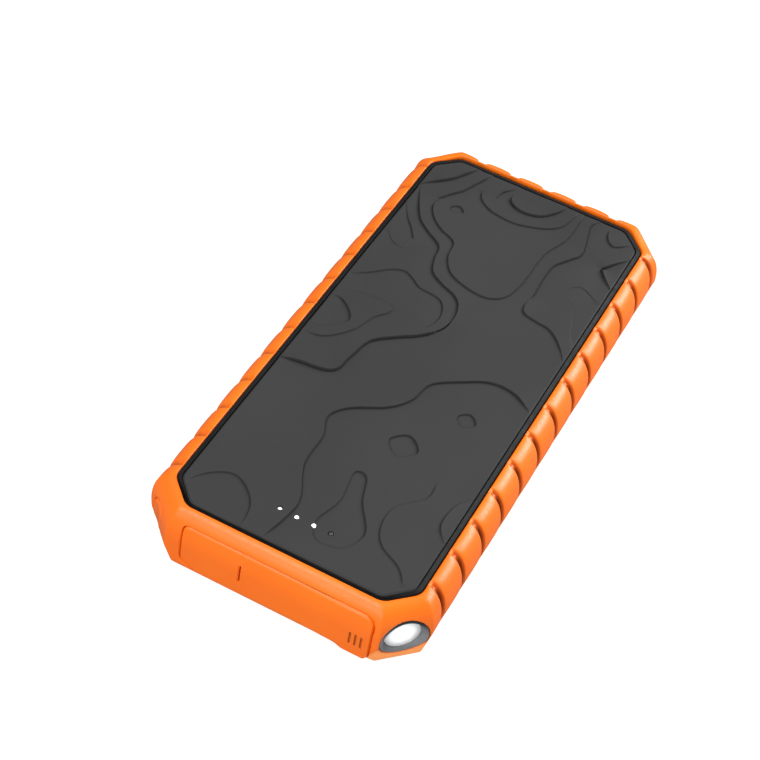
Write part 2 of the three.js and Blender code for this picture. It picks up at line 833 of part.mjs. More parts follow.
const CELL_LOW = FLOOR_TOP + FOAM_THICKNESS;

[0, 1].forEach((level) => {
  const low = CELL_LOW + level * (CELL_THICKNESS + CELL_GAP);
  place("battery_cell_" + (level + 1), slab(cellOutline(), low, low + CELL_THICKNESS), pouchFoil());
});
place("foam_pad", block([-30, 30], [-42, 70], [FLOOR_TOP, CELL_LOW]), greyFoam());

function batteryLead(x) {
  const path = new THREE.CatmullRomCurve3([
    new THREE.Vector3(x, CELL_NEAR_Y - 0.3, 10),
    new THREE.Vector3(x, -48, 10.2),
    new THREE.Vector3(x * 0.9, -51.5, 12.4),
    new THREE.Vector3(x * 0.8, -55.5, 11.6),
    new THREE.Vector3(x * 0.8, -58.5, 10.4),
  ]);
  const section = new THREE.Shape().absarc(0, 0, 0.8, 0, 2 * Math.PI, false);
  return new THREE.ExtrudeGeometry(section, { steps: 12, curveSegments: 4, extrudePath: path });
}

place("battery_lead_positive", batteryLead(-18), redWire());
place("battery_lead_negative", batteryLead(22), blackWire());

// ---- screws ----

function screw(headLow, headRadius, headHeight, shankRadius, length, upwards) {
  const head = post(headRadius, 0, 0, 0, headHeight);
  const shank = post(shankRadius, 0, 0, headHeight - 0.1, headHeight + length);
  const slot = block([-0.25, 0.25], [-1.1, 1.1], [-1, 0.5]);
  const body = geometryOf(cut(joined(head, shank), slot));
  return upwards ? body.translate(0, 0, headLow) : body.rotateX(Math.PI).translate(0, 0, headLow);
}

HOUSING_SCREWS.forEach(([x, y], i) => {
  const geometry = screw(0.8, 1.9, 1.1, 0.9, 18.6, true);
  place("housing_screw_" + (i + 1), geometry, steel()).position.set(x, y, 0);
});
BOARD_SCREWS.forEach(([x, y], i) => {
  const geometry = screw(BOARD_TOP + 1.1, 1.8, 1.1, 0.8, 4.2, false);
  place("board_screw_" + (i + 1), geometry, steel()).position.set(x, y, 0);
});

export default powerBank;
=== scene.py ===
"""The looks of a rubber-clad power bank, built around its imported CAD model.

Lengths are in millimetres until a mesh is made, and heights are above the base.
"""

import json
import math

import bmesh
import bpy
import numpy as np
from mathutils import Matrix, Vector, kdtree
from mathutils.geometry import delaunay_2d_cdt


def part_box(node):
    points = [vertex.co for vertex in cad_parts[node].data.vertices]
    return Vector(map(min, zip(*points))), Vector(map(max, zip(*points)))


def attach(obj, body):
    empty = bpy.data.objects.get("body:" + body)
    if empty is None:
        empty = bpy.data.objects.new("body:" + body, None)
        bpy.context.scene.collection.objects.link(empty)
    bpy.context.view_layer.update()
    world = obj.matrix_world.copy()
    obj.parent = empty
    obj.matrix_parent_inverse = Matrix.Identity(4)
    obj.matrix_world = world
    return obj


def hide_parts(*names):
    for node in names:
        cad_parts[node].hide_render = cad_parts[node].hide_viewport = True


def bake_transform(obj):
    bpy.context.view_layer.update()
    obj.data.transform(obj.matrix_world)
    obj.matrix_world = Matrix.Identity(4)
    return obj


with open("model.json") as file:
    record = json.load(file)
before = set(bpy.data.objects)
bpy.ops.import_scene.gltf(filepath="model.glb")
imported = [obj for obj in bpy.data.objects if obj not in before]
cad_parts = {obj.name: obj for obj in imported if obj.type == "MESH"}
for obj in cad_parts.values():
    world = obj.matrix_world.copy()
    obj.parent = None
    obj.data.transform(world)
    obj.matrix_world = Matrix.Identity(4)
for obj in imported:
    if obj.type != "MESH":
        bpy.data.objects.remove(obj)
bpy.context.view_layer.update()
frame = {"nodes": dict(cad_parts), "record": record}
MM = 0.001
CASE = "case"


# ---- driving dimensions, from the frame where it has them ----

def box_mm(node):
    low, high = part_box(node)
    return np.array(low) / MM, np.array(high) / MM


HALF_WIDTH, HALF_LENGTH, BUMPER_TOP = box_mm("bumper")[1]
PLATE_LOW, PLATE_HIGH = box_mm("deck_plate")
COVER_LOW, COVER_HIGH = box_mm("port_cover")
ANCHOR_LOW, ANCHOR_HIGH = box_mm("port_cover_anchor")
PORT_LOW, PORT_HIGH = box_mm("port_plate")
LID_LOW, LID_HIGH = box_mm("top_housing")

GAP = 0.3
CHAMFER = 10.2
CHAMFER_SHRINK = 0.53
SHOULDER_REACH = 5.45
SHOULDER_DROP = 10.0
SHOULDER_POWER = 2.1
FOOT_NEAR = (4.7, 3.45)
FOOT_SIDE = (12.0, 2.45)
FOOT_FAR = (12.0, 2.6)
FOOT_CORNER = (9.5, 3.3)
END_START = 77.5
FAR_LIP = 0.9
FAR_LIP_FALL = 5.5
FAR_LIP_SHIFT = 0.8
NEAR_LIP_SHIFT = 0.25
OPENING_INSET = 5.7
BASE_OPENING_INSET = 8.0
LIP = 1.8
CAVITY_INSET = 4.1
CORNER_RADIUS = 1.3
OPENING_CORNER_RADIUS = 4.6
RECESS_EDGE = 0.3
HOLE_EDGE = 0.2
HOLE_CUT = (-6, 3)
BUMPER_SHARP_ANGLE = 58

DECK_Y = (PLATE_LOW[1] + PLATE_HIGH[1]) / 2
DECK_HALF_WIDTH = 35.0
DECK_HALF_LENGTH = 82.1
PLATE_HALF_WIDTH = 33.56
PLATE_HALF_LENGTH = 80.75
PLATE_Y = DECK_Y - 0.43
PLATE_CHAMFER = 6.2
PLATE_CORNER_RADIUS = 3.4
PLATE_EDGE = 0.42
PLATE_TOP = 22.9
PLATE_UNDERSIDE = PLATE_LOW[2]

GROOVE_COUNT = 13
GROOVE_PITCH = 12.0
FIRST_GROOVE_Y = 73.0
GROOVE_WIDTH = 2.1
GROOVE_DEPTH = 1.7
GROOVE_LIP_DEPTH = 0.22
GROOVE_SHOULDER_DEPTH = 0.85
GROOVE_RAMPS = ((0.0, 2.0), (2.2, 2.6))
GROOVE_FOOT = (0.2, 1.0)
GROOVE_EDGE = 0.6
CREST_DROP = 0.32
CREST_REACH = 1.0
END_GROOVE_COUNT = 5
END_GROOVE_PITCH = 11.0
END_GROOVE_WIDTH = 3.4
END_GROOVE_SHARE = 0.8

CONTROL_HEIGHT = 11.4
BUTTON_SHIFT = -1.0
TORCH_RADIUS = 6.5
BUTTON_SIZE = (6.4, 10.0)
BUTTON_FLANGE = 1.0
BUTTON_BASE = -2.2
LAMP_RADIUS = 0.58
LAMP_HOLE_RADIUS = 0.82
LAMP_RECESS = 0.36
LAMP_FLANGE = (18.4, 19.2)
LIT_LAMPS = 3
FOLD_X = (COVER_LOW[0] + ANCHOR_HIGH[0]) / 2


# ---- numbers and outlines ----

def smooth_step(value):
    value = np.clip(value, 0.0, 1.0)
    return value * value * (3.0 - 2.0 * value)


def turned(vector, angle):
    cos, sin = math.cos(angle), math.sin(angle)
    return np.array((vector[0] * cos - vector[1] * sin, vector[0] * sin + vector[1] * cos))


def unit(vector):
    return vector / np.linalg.norm(vector)


def rounded_polygon(corners, radius, arc_steps=6):
    """A closed outline with every corner replaced by an arc of arc_steps edges."""
    corners = np.array(corners, float)
    radii = np.broadcast_to(radius, len(corners))
    points = []
    for corner, before, after, r in zip(corners, np.roll(corners, 1, axis=0),
                                        np.roll(corners, -1, axis=0), radii):
        back, ahead = unit(before - corner), unit(after - corner)
        half_angle = math.acos(np.clip(back @ ahead, -1, 1)) / 2
        reach = r / math.tan(half_angle)
        centre = corner + unit(back + ahead) * r / math.sin(half_angle)
        entry = corner + back * reach - centre
        leave = corner + ahead * reach - centre
        turn = math.atan2(entry[0] * leave[1] - entry[1] * leave[0], entry @ leave)
        points += [centre + turned(entry, turn * k / arc_steps) for k in range(arc_steps + 1)]
    return np.array(points)


def mirrored(right):
    """The points of a right half, then their mirror images in reverse order."""
    return right + [(-x, y) for x, y in right[::-1]]


def octagon_corners(half_x, half_y, leg, centre_y):
    x, y = half_x - leg, half_y - leg
    corners = mirrored([(x, -half_y), (half_x, -y), (half_x, y), (x, half_y)])
    return [(px, py + centre_y) for px, py in corners]


def stadium(width, height, steps=20):
    """An upright rectangle with half-round ends."""
    radius = width / 2
    rise = height / 2 - radius
    points = []
    for start, sign in ((0.0, 1), (math.pi, -1)):
        for k in range(steps + 1):
            angle = start + math.pi * k / steps
            points.append((radius * math.cos(angle), radius * math.sin(angle) + sign * rise))
    return np.array(points)


def at_height(outline, height):
    return np.column_stack((outline, np.full(len(outline), height)))


def subdivided(loop, spacing):
    """The closed loop with its long edges cut into pieces of about spacing."""
    points = []
    for start, end in zip(loop, np.roll(loop, -1, axis=0)):
        count = max(1, int(round(np.linalg.norm(end - start) / spacing)))
        points += [start + (end - start) * k / count for k in range(count)]
    return np.array(points)


def smooth_curve(knots, spacing, closed=False):
    """Catmull-Rom through the knots, sampled at about spacing."""
    knots = [np.array(k, float) for k in knots]
    if closed:
        knots = [knots[-1]] + knots + knots[:2]
    else:
        knots = [2 * knots[0] - knots[1]] + knots + [2 * knots[-1] - knots[-2]]
    points = []
    for a, b, c, d in zip(knots, knots[1:], knots[2:], knots[3:]):
        count = max(1, int(round(np.linalg.norm(c - b) / spacing)))
        for k in range(count):
            t = k / count
            points.append(0.5 * (2 * b + (c - a) * t + (2 * a - 5 * b + 4 * c - d) * t * t
                                 + (3 * b - a - 3 * c + d) * t ** 3))
    if not closed:
        points.append(knots[-2])
    return np.array(points)


def inside(points, polygon):
    """Whether each point is in the closed polygon."""
    x, y = points[:, 0][:, None], points[:, 1][:, None]
    x1, y1 = polygon[:, 0], polygon[:, 1]
    x2, y2 = np.roll(x1, -1), np.roll(y1, -1)
    rise = np.where(y2 == y1, 1e-12, y2 - y1)
    crosses = ((y1 > y) != (y2 > y)) & (x < (x2 - x1) * (y - y1) / rise + x1)
    return crosses.sum(1) % 2 == 1


def to_line(points, line, closed=False):
    """Distance, side (+1 on the line's left) and place along the line (0 to 1) of each point."""
    start = line if closed else line[:-1]
    end = np.roll(line, -1, axis=0) if closed else line[1:]
    along = end - start
    length = np.maximum((along ** 2).sum(1), 1e-12)
    away = points[:, None, :] - start[None]
    t = np.clip((away * along[None]).sum(2) / length, 0, 1)
    miss = away - t[..., None] * along[None]
    distance = np.sqrt((miss ** 2).sum(2))
    nearest = distance.argmin(1)
    rows = np.arange(len(points))
    step = along[nearest]
    side = np.sign(step[:, 0] * away[rows, nearest, 1] - step[:, 1] * away[rows, nearest, 0])
    place = (nearest + t[rows, nearest]) / len(start)
    return distance[rows, nearest], side, place


def outside_distance(points, outline):
    """Signed distance to a closed outline, negative inside."""
    distance, _, _ = to_line(points, outline, closed=True)
    return np.where(inside(points, outline), -distance, distance)


def rounding(depth_in, radius):
    """How far a rounded edge drops at a distance depth_in from the edge (all of it, beyond it)."""
    left = np.clip(radius - depth_in, 0, radius)
    return radius - np.sqrt(np.maximum(radius ** 2 - left ** 2, 0))


# ---- meshes ----

def in_scene(name, data):
    obj = bpy.data.objects.new(name, data)
    bpy.context.scene.collection.objects.link(obj)
    return obj


def from_tool(name, tool):
    """A new object from an edited mesh."""
    mesh = bpy.data.meshes.new(name)
    tool.to_mesh(mesh)
    tool.free()
    return in_scene(name, mesh)


def mesh_object(name, points, faces, sharp_angle):
    mesh = bpy.data.meshes.new(name)
    mesh.from_pydata((np.array(points, float) * MM).tolist(), [], faces)
    mesh.validate()
    tool = bmesh.new()
    tool.from_mesh(mesh)
    bmesh.ops.remove_doubles(tool, verts=tool.verts, dist=1e-7)
    bmesh.ops.recalc_face_normals(tool, faces=tool.faces)
    tool.to_mesh(mesh)
    tool.free()
    obj = in_scene(name, mesh)
    shade(obj, sharp_angle)
    return obj


def shade(obj, sharp_angle=35):
    obj.data.shade_smooth()
    obj.data.set_sharp_from_angle(angle=math.radians(sharp_angle))


def apply_modifiers(obj):
    """Replaces the object's mesh by its modified one."""
    graph = bpy.context.evaluated_depsgraph_get()
    made = bpy.data.meshes.new_from_object(obj.evaluated_get(graph))
    obj.modifiers.clear()
    obj.data = made


def carve(obj, *cutters, solver="EXACT"):
    for cutter in cutters:
        boolean = obj.modifiers.new("cut", "BOOLEAN")
        boolean.operation = "DIFFERENCE"
        boolean.solver = solver
        boolean.object = cutter
    apply_modifiers(obj)
    for cutter in cutters:
        bpy.data.objects.remove(cutter)


def loft(name, loops, closed_ring=False, sharp_angle=35):
    """A skin over loops of equal length: capped at both ends, or joined end to end as a ring."""
    count = len(loops[0])
    points = np.concatenate(loops)
    rows = len(loops)
    faces = []
    for i in range(rows if closed_ring else rows - 1):
        a, b = i * count, (i + 1) % rows * count
        for j in range(count):
            k = (j + 1) % count
            faces.append((a + j, a + k, b + k, b + j))
    if not closed_ring:
        faces.append(tuple(range(count))[::-1])
        faces.append(tuple((rows - 1) * count + j for j in range(count)))
    return mesh_object(name, points, faces, sharp_angle)


def in_place(matrix, points):
    """Local points (millimetres) moved by a 4x4 matrix."""
    points = np.array(points, float)
    array = np.array(matrix, float)
    return points @ array[:3, :3].T + array[:3, 3]


def lathe(name, profile, matrix, segments=96, ring=False, sharp_angle=30):
    """A turned piece about the matrix's Z axis, from (radius, height) pairs."""
    angles = np.linspace(0, 2 * math.pi, segments, endpoint=False)
    loops = []
    for radius, height in profile:
        loop = [(radius * math.cos(a), radius * math.sin(a), height) for a in angles]
        loops.append(in_place(matrix, loop))
    return loft(name, loops, closed_ring=ring, sharp_angle=sharp_angle)


def prism(name, outline, low, high, matrix):
    return loft(name, [in_place(matrix, at_height(outline, z)) for z in (low, high)])


def soft_block(name, low, high, bevel, matrix=Matrix.Identity(4)):
    """A box with rounded edges."""
    tool = bmesh.new()
    bmesh.ops.create_cube(tool, size=1.0)
    low, high = np.array(low, float), np.array(high, float)
    for vertex in tool.verts:
        local = (np.array(vertex.co) + 0.5) * (high - low) + low
        vertex.co = in_place(matrix, [local])[0] * MM
    bmesh.ops.bevel(tool, geom=tool.edges[:], offset=bevel * MM, segments=3, profile=0.5,
                    affect="EDGES")
    obj = from_tool(name, tool)
    shade(obj)
    return obj


FRONT_VIEW = Matrix(((1, 0, 0, 0), (0, 0, -1, 0), (0, 1, 0, 0), (0, 0, 0, 1)))


def corner_matrix(side, shift=0.0):
    """X along a near corner's chamfer, Y up, Z out of the body, on its surface."""
    along = Vector((1, side, 0)).normalized()
    out = Vector((side, -1, 0)).normalized()
    middle = Vector((side * (HALF_WIDTH - CHAMFER / 2), CHAMFER / 2 - HALF_LENGTH, CONTROL_HEIGHT))
    matrix = Matrix((along, Vector((0, 0, 1)), out)).transposed().to_4x4()
    matrix.translation = middle + along * shift
    return matrix


TORCH = corner_matrix(1)
BUTTON = corner_matrix(-1, BUTTON_SHIFT)


def button_outline(grow):
    width, height = BUTTON_SIZE
    return stadium(width + 2 * grow, height + 2 * grow)


# ---- materials ----

class Nodes:
    """A material's node tree, with short calls for the nodes that the finishes share."""

    def __init__(self, name):
        self.material = bpy.data.materials.new(name)
        self.material.use_nodes = True
        self.tree = self.material.node_tree
        self.shader = self.tree.nodes["Principled BSDF"]
        self.place = self.add("TexCoord").outputs["Object"]

    def feed(self, socket, value):
        """Links an output to the socket, or sets the socket's own value."""
        if hasattr(value, "links"):
            self.tree.links.new(value, socket)
        elif isinstance(value, tuple) and socket.type == "RGBA":
            socket.default_value = (*value, 1.0)
        else:
            socket.default_value = value

    def add(self, kind, inputs=None, **settings):
        node = self.tree.nodes.new("ShaderNode" + kind)
        for name, value in settings.items():
            setattr(node, name, value)
        for name, value in (inputs or {}).items():
            self.feed(node.inputs[name], value)
        return node

    def set(self, **inputs):
        """Feeds the surface shader."""
        for name, value in inputs.items():
            self.feed(self.shader.inputs[name.replace("_", " ")], value)

    def noise(self, scale, detail=3.0, roughness=0.5, stretch=None):
        place = self.place
        if stretch:
            place = self.add("Mapping", {"Vector": place, "Scale": stretch}).outputs["Vector"]
        inputs = {"Vector": place, "Scale": scale, "Detail": detail, "Roughness": roughness}
        return self.add("TexNoise", inputs).outputs["Fac"]

    def cells(self, scale, feature="F1"):
        inputs = {"Vector": self.place, "Scale": scale}
        return self.add("TexVoronoi", inputs, feature=feature).outputs["Distance"]

    def remap(self, value, low=0.3, high=0.7, to_low=0.0, to_high=1.0):
        inputs = {"Value": value, "From Min": low, "From Max": high, "To Min": to_low,
                  "To Max": to_high}
        return self.add("MapRange", inputs).outputs["Result"]

    def blend(self, factor, first, second):
        return self.add("Mix", {0: factor, 6: first, 7: second}, data_type="RGBA").outputs[2]

    def edges(self, radius_mm):
        """0 on flat stretches to 1 within a radius of an edge."""
        soft = self.add("Bevel", {"Radius": radius_mm * MM}, samples=3).outputs["Normal"]
        true = self.add("NewGeometry").outputs["Normal"]
        match = self.add("VectorMath", {0: soft, 1: true}, operation="DOT_PRODUCT")
        return self.remap(match.outputs["Value"], 0.98, 0.86)

    def painted_shade_mask(self, reach_mm, low, high):
        """Mask for painted shade, from ambient occlusion: 1 deep in gaps and grooves to 0 in the open."""
        inputs = {"Distance": reach_mm * MM}
        node = self.add("AmbientOcclusion", inputs, samples=6, only_local=True)
        return self.remap(node.outputs["AO"], low, high, 1.0, 0.0)

    def distance_from(self, centre):
        inputs = {0: self.place, 1: centre}
        return self.add("VectorMath", inputs, operation="DISTANCE").outputs["Value"]

    def product(self, first, second):
        return self.add("Math", {0: first, 1: second}, operation="MULTIPLY").outputs["Value"]

    def axis(self, source, name):
        return self.add("SeparateXYZ", {0: source}).outputs[name]

    def bump(self, height, strength, distance_mm):
        inputs = {"Height": height, "Strength": strength, "Distance": distance_mm * MM}
        return self.add("Bump", inputs).outputs["Normal"]

    def tones(self, factor, first, second):
        """A blend of two colours given as 0-255 screen values."""
        return self.blend(factor, linear(*first), linear(*second))

    def worn_and_shaded(self, drift, first, second, edge_mm, worn, shade_range, deep):
        """A colour that drifts slowly, pales on its worn edges and carries painted shade, darkening to the
        deep colour in gaps and grooves.
        """
        base = self.tones(drift, first, second)
        edged = self.blend(self.edges(edge_mm), base, linear(*worn))
        # Painted shade: the deep colour is laid where ambient occlusion finds gaps and grooves.
        return self.blend(self.painted_shade_mask(*shade_range), edged, linear(*deep))


def linear(red, green, blue):
    """A linear colour from 0-255 screen values."""
    def one(value):
        value /= 255
        return value / 12.92 if value <= 0.04045 else ((value + 0.055) / 1.055) ** 2.4
    return one(red), one(green), one(blue)


# Centre of a painted glow on the rubber's downward-facing faces below the torch, standing in for light
# reflected from the floor.
PAINTED_GLOW_CENTRE = Vector((HALF_WIDTH - CHAMFER / 2, CHAMFER / 2 - HALF_LENGTH, 2.0)) * MM


def orange_rubber():
    """Moulded TPU: fine grain, slow colour drift, worn edges, painted shade in its grooves and gaps, and a
    painted peach glow on the downward-facing faces below the torch that stands in for light reflected from
    the floor.
    """
    n = Nodes("orange_rubber")
    drift = n.remap(n.noise(45, 2), 0.35, 0.65)
    # Painted shade: the colour darkens to deep brown in the grooves and gaps.
    n.set(Base_Color=n.worn_and_shaded(drift, (248, 110, 6), (250, 116, 10), 0.22, (255, 134, 44),
                            (2.4, 0.46, 0.9), (96, 38, 8)))
    n.set(Roughness=n.remap(n.noise(900), to_low=0.34, to_high=0.46))
    n.set(Normal=n.bump(n.noise(5200, 2, 0.6), 0.2, 0.05), Specular_IOR_Level=0.45)
    # Painted glow: peach emission on faces that look down near that centre.
    below = n.remap(n.distance_from(PAINTED_GLOW_CENTRE), 0.008, 0.013, 0.36, 0.0)
    upward = n.axis(n.add("NewGeometry").outputs["Normal"], "Z")
    painted_glow = n.product(below, n.remap(upward, -0.12, -0.3))
    n.set(Emission_Color=(1.0, 0.56, 0.18), Emission_Strength=painted_glow)
    return n.material


def plate_plastic():
    """Spark-eroded hard plastic: a crisp fine grit with faint handling polish, and painted shade darkening
    its step lines and gaps.
    """
    n = Nodes("plate_plastic")
    n.set(Base_Color=n.worn_and_shaded(n.remap(n.noise(30)), (50, 50, 50), (53, 53, 53), 0.06, (62, 62, 62),
                            (0.8, 0.45, 0.93), (8, 8, 8)))
    n.set(Roughness=n.remap(n.noise(25, 4), to_low=0.6, to_high=0.7))
    n.set(Normal=n.bump(n.cells(4200), 0.25, 0.04), Specular_IOR_Level=0.2)
    return n.material


def black_plastic(name, grain_strength, rough):
    # Painted shade: the colour goes near black deep in gaps and grooves.
    n = Nodes(name)
    n.set(Base_Color=n.worn_and_shaded(n.remap(n.noise(60, 2)), (27, 29, 30), (32, 34, 35), 0.12,
                            (38, 40, 41), (0.9, 0.45, 0.92), (2, 2, 3)))
    n.set(Roughness=n.remap(n.noise(500), 0.3, 0.7, *rough))
    n.set(Normal=n.bump(n.noise(3500, 2), grain_strength, 0.04), Specular_IOR_Level=0.09)
    return n.material


def tinted_plastic(name, first, second, rough=(0.35, 0.5), grain=0.15):
    """A smooth moulded plastic with slow colour drift and a faint grain."""
    n = Nodes(name)
    n.set(Base_Color=n.tones(n.remap(n.noise(120)), first, second))
    n.set(Roughness=n.remap(n.noise(700), 0.3, 0.7, *rough))
    n.set(Normal=n.bump(n.noise(4000, 2), grain, 0.03))
    return n.material


def brushed_metal(name, first, second, rough=(0.22, 0.36)):
    """Metal with fine lines drawn along X, and a slow change of tone."""
    n = Nodes(name)
    lines = n.noise(1.0, 3, 0.6, (60, 4000, 4000))
    n.set(Base_Color=n.tones(n.remap(lines), first, second))
    n.set(Metallic=1.0, Roughness=n.remap(lines, 0.3, 0.7, *rough))
    n.set(Normal=n.bump(lines, 0.12, 0.02))
    return n.material


def board_green():
    """Solder mask over copper runs."""
    n = Nodes("board_green")
    runs = n.remap(n.cells(420, "DISTANCE_TO_EDGE"), 0.03, 0.06, 1.0, 0.0)
    n.set(Base_Color=n.tones(runs, (18, 82, 52), (36, 118, 74)), Coat_Weight=0.3)
    n.set(Roughness=n.remap(n.noise(300), to_low=0.28, to_high=0.42), Normal=n.bump(runs, 0.3, 0.03))
    return n.material


def foam_grey():
    n = Nodes("foam_grey")
    pores = n.cells(1800)
    n.set(Base_Color=n.tones(n.remap(pores, 0.0, 0.5), (54, 57, 60), (92, 95, 98)))
    n.set(Roughness=n.remap(n.noise(900, 2), to_low=0.88, to_high=0.98))
    n.set(Normal=n.bump(pores, 0.8, 0.2))
    return n.material


def pouch_foil():
    n = Nodes("pouch_foil")
    creases = n.noise(220, 5, 0.6)
    n.set(Base_Color=n.tones(n.remap(creases), (168, 171, 175), (206, 208, 211)))
    n.set(Metallic=0.85, Roughness=n.remap(n.noise(60), to_low=0.28, to_high=0.42))
    n.set(Normal=n.bump(creases, 0.35, 0.12))
    return n.material


def lit_lamp():
    """A lamp that glows, with a slightly dimmer speckle."""
    n = Nodes("lamp_lit")
    speckle = n.remap(n.noise(2500, 2))
    white = (0.96, 0.98, 1.0)
    glow = n.blend(speckle, tuple(0.94 * c for c in white), white)
    n.set(Base_Color=glow, Emission_Color=glow, Emission_Strength=1.3)
    n.set(Roughness=n.remap(speckle, 0.0, 1.0, 0.3, 0.4))
    return n.material


def torch_glass():
    """A clear moulded lens, slightly hazy, that glows most over the emitter."""
    n = Nodes("torch_glass")
    haze = n.remap(n.noise(600))
    n.set(Base_Color=n.blend(haze, (0.93, 0.95, 0.96), (1.0, 1.0, 1.0)))
    n.set(Roughness=n.remap(haze, 0.0, 1.0, 0.08, 0.16), Transmission_Weight=0.55, IOR=1.46)
    n.set(Normal=n.bump(n.noise(1500, 2), 0.04, 0.03), Coat_Weight=0.6, Coat_Roughness=0.05)
    away = n.distance_from(TORCH.translation * MM)
    n.set(Emission_Color=(1.0, 1.0, 1.0), Emission_Strength=n.remap(away, 0.0024, 0.0054, 0.55, 0.0))
    return n.material


def torch_bezel():
    """A grey cone with painted shade that darkens it towards the top."""
    n = Nodes("grey_bezel")
    # Painted shade: darker towards the top of the cone, by object height.
    upper_shade = n.remap(n.axis(n.place, "Z"), 0.0125, 0.0162)
    speckle = n.remap(n.noise(1200))
    grey = n.tones(speckle, (118, 120, 123), (128, 130, 133))
    n.set(Base_Color=n.blend(upper_shade, grey, linear(40, 46, 51)))
    n.set(Roughness=n.remap(speckle, 0.0, 1.0, 0.3, 0.4), Normal=n.bump(speckle, 0.05, 0.02))
    return n.material


# Two tones of each plain plastic and metal, then its roughness and grain where they are its own.
TINTED = {
    "lamp_yellow": [(232, 208, 110), (246, 226, 140)],
    "white_plastic": [(222, 226, 229), (238, 240, 242)],
    "dark_plastic": [(26, 26, 27), (36, 36, 38)],
    "chip_black": [(30, 31, 34), (44, 45, 48), (0.45, 0.6), 0.3],
    "lamp_unlit": [(58, 58, 60), (70, 70, 72)],
    "red_wire": [(168, 30, 24), (190, 40, 32)],
    "black_wire": [(24, 24, 26), (34, 34, 36)],
}
BRUSHED = {
    "mirror_coat": [(222, 224, 227), (240, 241, 243), (0.08, 0.16)],
    "steel": [(172, 175, 180), (205, 207, 210)],
    "contact_gold": [(206, 164, 82), (236, 200, 122)],
    "can_aluminium": [(188, 190, 193), (214, 215, 217)],
}
MATERIALS = {
    "orange_rubber": orange_rubber(),
    "grey_plate": plate_plastic(),
    "black_plastic": black_plastic("black_plastic", 0.3, (0.5, 0.62)),
    "black_rubber": black_plastic("black_rubber", 0.5, (0.6, 0.75)),
    "grey_bezel": torch_bezel(),
    "clear_lens": torch_glass(),
    "green_board": board_green(),
    "light_pipe": lit_lamp(),
    "pouch_foil": pouch_foil(),
    "grey_foam": foam_grey(),
}
MATERIALS.update((name, tinted_plastic(name, *row)) for name, row in TINTED.items())
MATERIALS.update((name, brushed_metal(name, *row)) for name, row in BRUSHED.items())


def finish(obj, slot, body=CASE, replaces=(), material=None):
    """Gives a new piece the material of its slot, or the named material instead, parents it to its body and
    hides the CAD nodes it stands for.
    """
    obj.data.materials.clear()
    obj.data.materials.append(MATERIALS[material or slot])
    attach(obj, body)
    if replaces:
        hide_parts(*replaces)


# ---- bumper ----

# A shoulder inset of 1 mm on the long sides moves the port end and its corners in by these shares.
NEAR_SHARE = (HALF_LENGTH - DECK_HALF_LENGTH - GAP + DECK_Y) / OPENING_INSET
CORNER_SHARE = (1 + NEAR_SHARE - CHAMFER_SHRINK) / math.sqrt(2)


def shoulder_inset(height):
    """How far the bumper's rounded shoulder lies inside its full width at each height."""
    height = np.asarray(height, float)
    up = np.clip((height - (BUMPER_TOP - SHOULDER_DROP)) / SHOULDER_DROP, 0, 1)
    return SHOULDER_REACH * (1 - (1 - up ** SHOULDER_POWER) ** (1 / SHOULDER_POWER))


def foot_inset(height, foot, soft=0.5):
    """A flat taper below a height, with a softened top edge."""
    rise, reach = foot
    below = np.asarray(rise - np.asarray(height, float))
    eased = np.where(below < soft, np.clip(below + soft, 0, None) ** 2 / (4 * soft), below)
    return reach / rise * eased


def face_inset(height):
    """How far the port end's surface lies behind its widest point."""
    return NEAR_SHARE * shoulder_inset(height) + foot_inset(height, FOOT_NEAR)


def corner_inset(height):
    """The same for the chamfered corners beside the port end."""
    return CORNER_SHARE * shoulder_inset(height) + foot_inset(height, FOOT_CORNER)


COVER_CORNER = 3.0
COVER_BOTTOM = 4.4
TAB_LEFT, TAB_RIGHT = 21.5, 28.0


def cover_outline(grow):
    """The whole cover seen from the port end, grown outwards: a rounded slab with a lower pull tab."""
    left, right = ANCHOR_LOW[0] - grow, COVER_HIGH[0] + grow
    low, high = COVER_BOTTOM - grow, ANCHOR_HIGH[2] + 0.45 * grow
    tab_low = COVER_LOW[2] - grow
    corners = [(left, low + 2.9), (left + 5.2, low), (TAB_LEFT - 3.0 - grow, low),
               (TAB_LEFT - grow, tab_low), (TAB_RIGHT + grow, tab_low), (right, low + 1.6),
               (right, high), (left, high)]
    return rounded_polygon(corners, [2.0, 2.0, 1.5, 1.0, 1.0, 1.0, COVER_CORNER, 1.4])


def shoulder_curve():
    """Crest and groove-floor points (inset, height) from the lip down to the side wall."""
    angles = np.linspace(0, math.pi / 2, 40)
    across = 1 - np.sin(angles) ** (2 / SHOULDER_POWER)
    down = 1 - np.abs(np.cos(angles)) ** (2 / SHOULDER_POWER)
    crest = np.column_stack((SHOULDER_REACH * across, BUMPER_TOP - SHOULDER_DROP * down))
    run = np.gradient(crest, axis=0)
    inward = np.column_stack((-run[:, 1], run[:, 0]))
    inward /= np.linalg.norm(inward, axis=1)[:, None]
    from_lip = SHOULDER_REACH - crest[:, 0]
    first, second = (smooth_step((from_lip - start) / length) for start, length in GROOVE_RAMPS)
    depth = GROOVE_LIP_DEPTH + (GROOVE_SHOULDER_DEPTH - GROOVE_LIP_DEPTH) * first
    depth += (GROOVE_DEPTH - GROOVE_SHOULDER_DEPTH) * second
    return crest, crest + inward * depth[:, None]


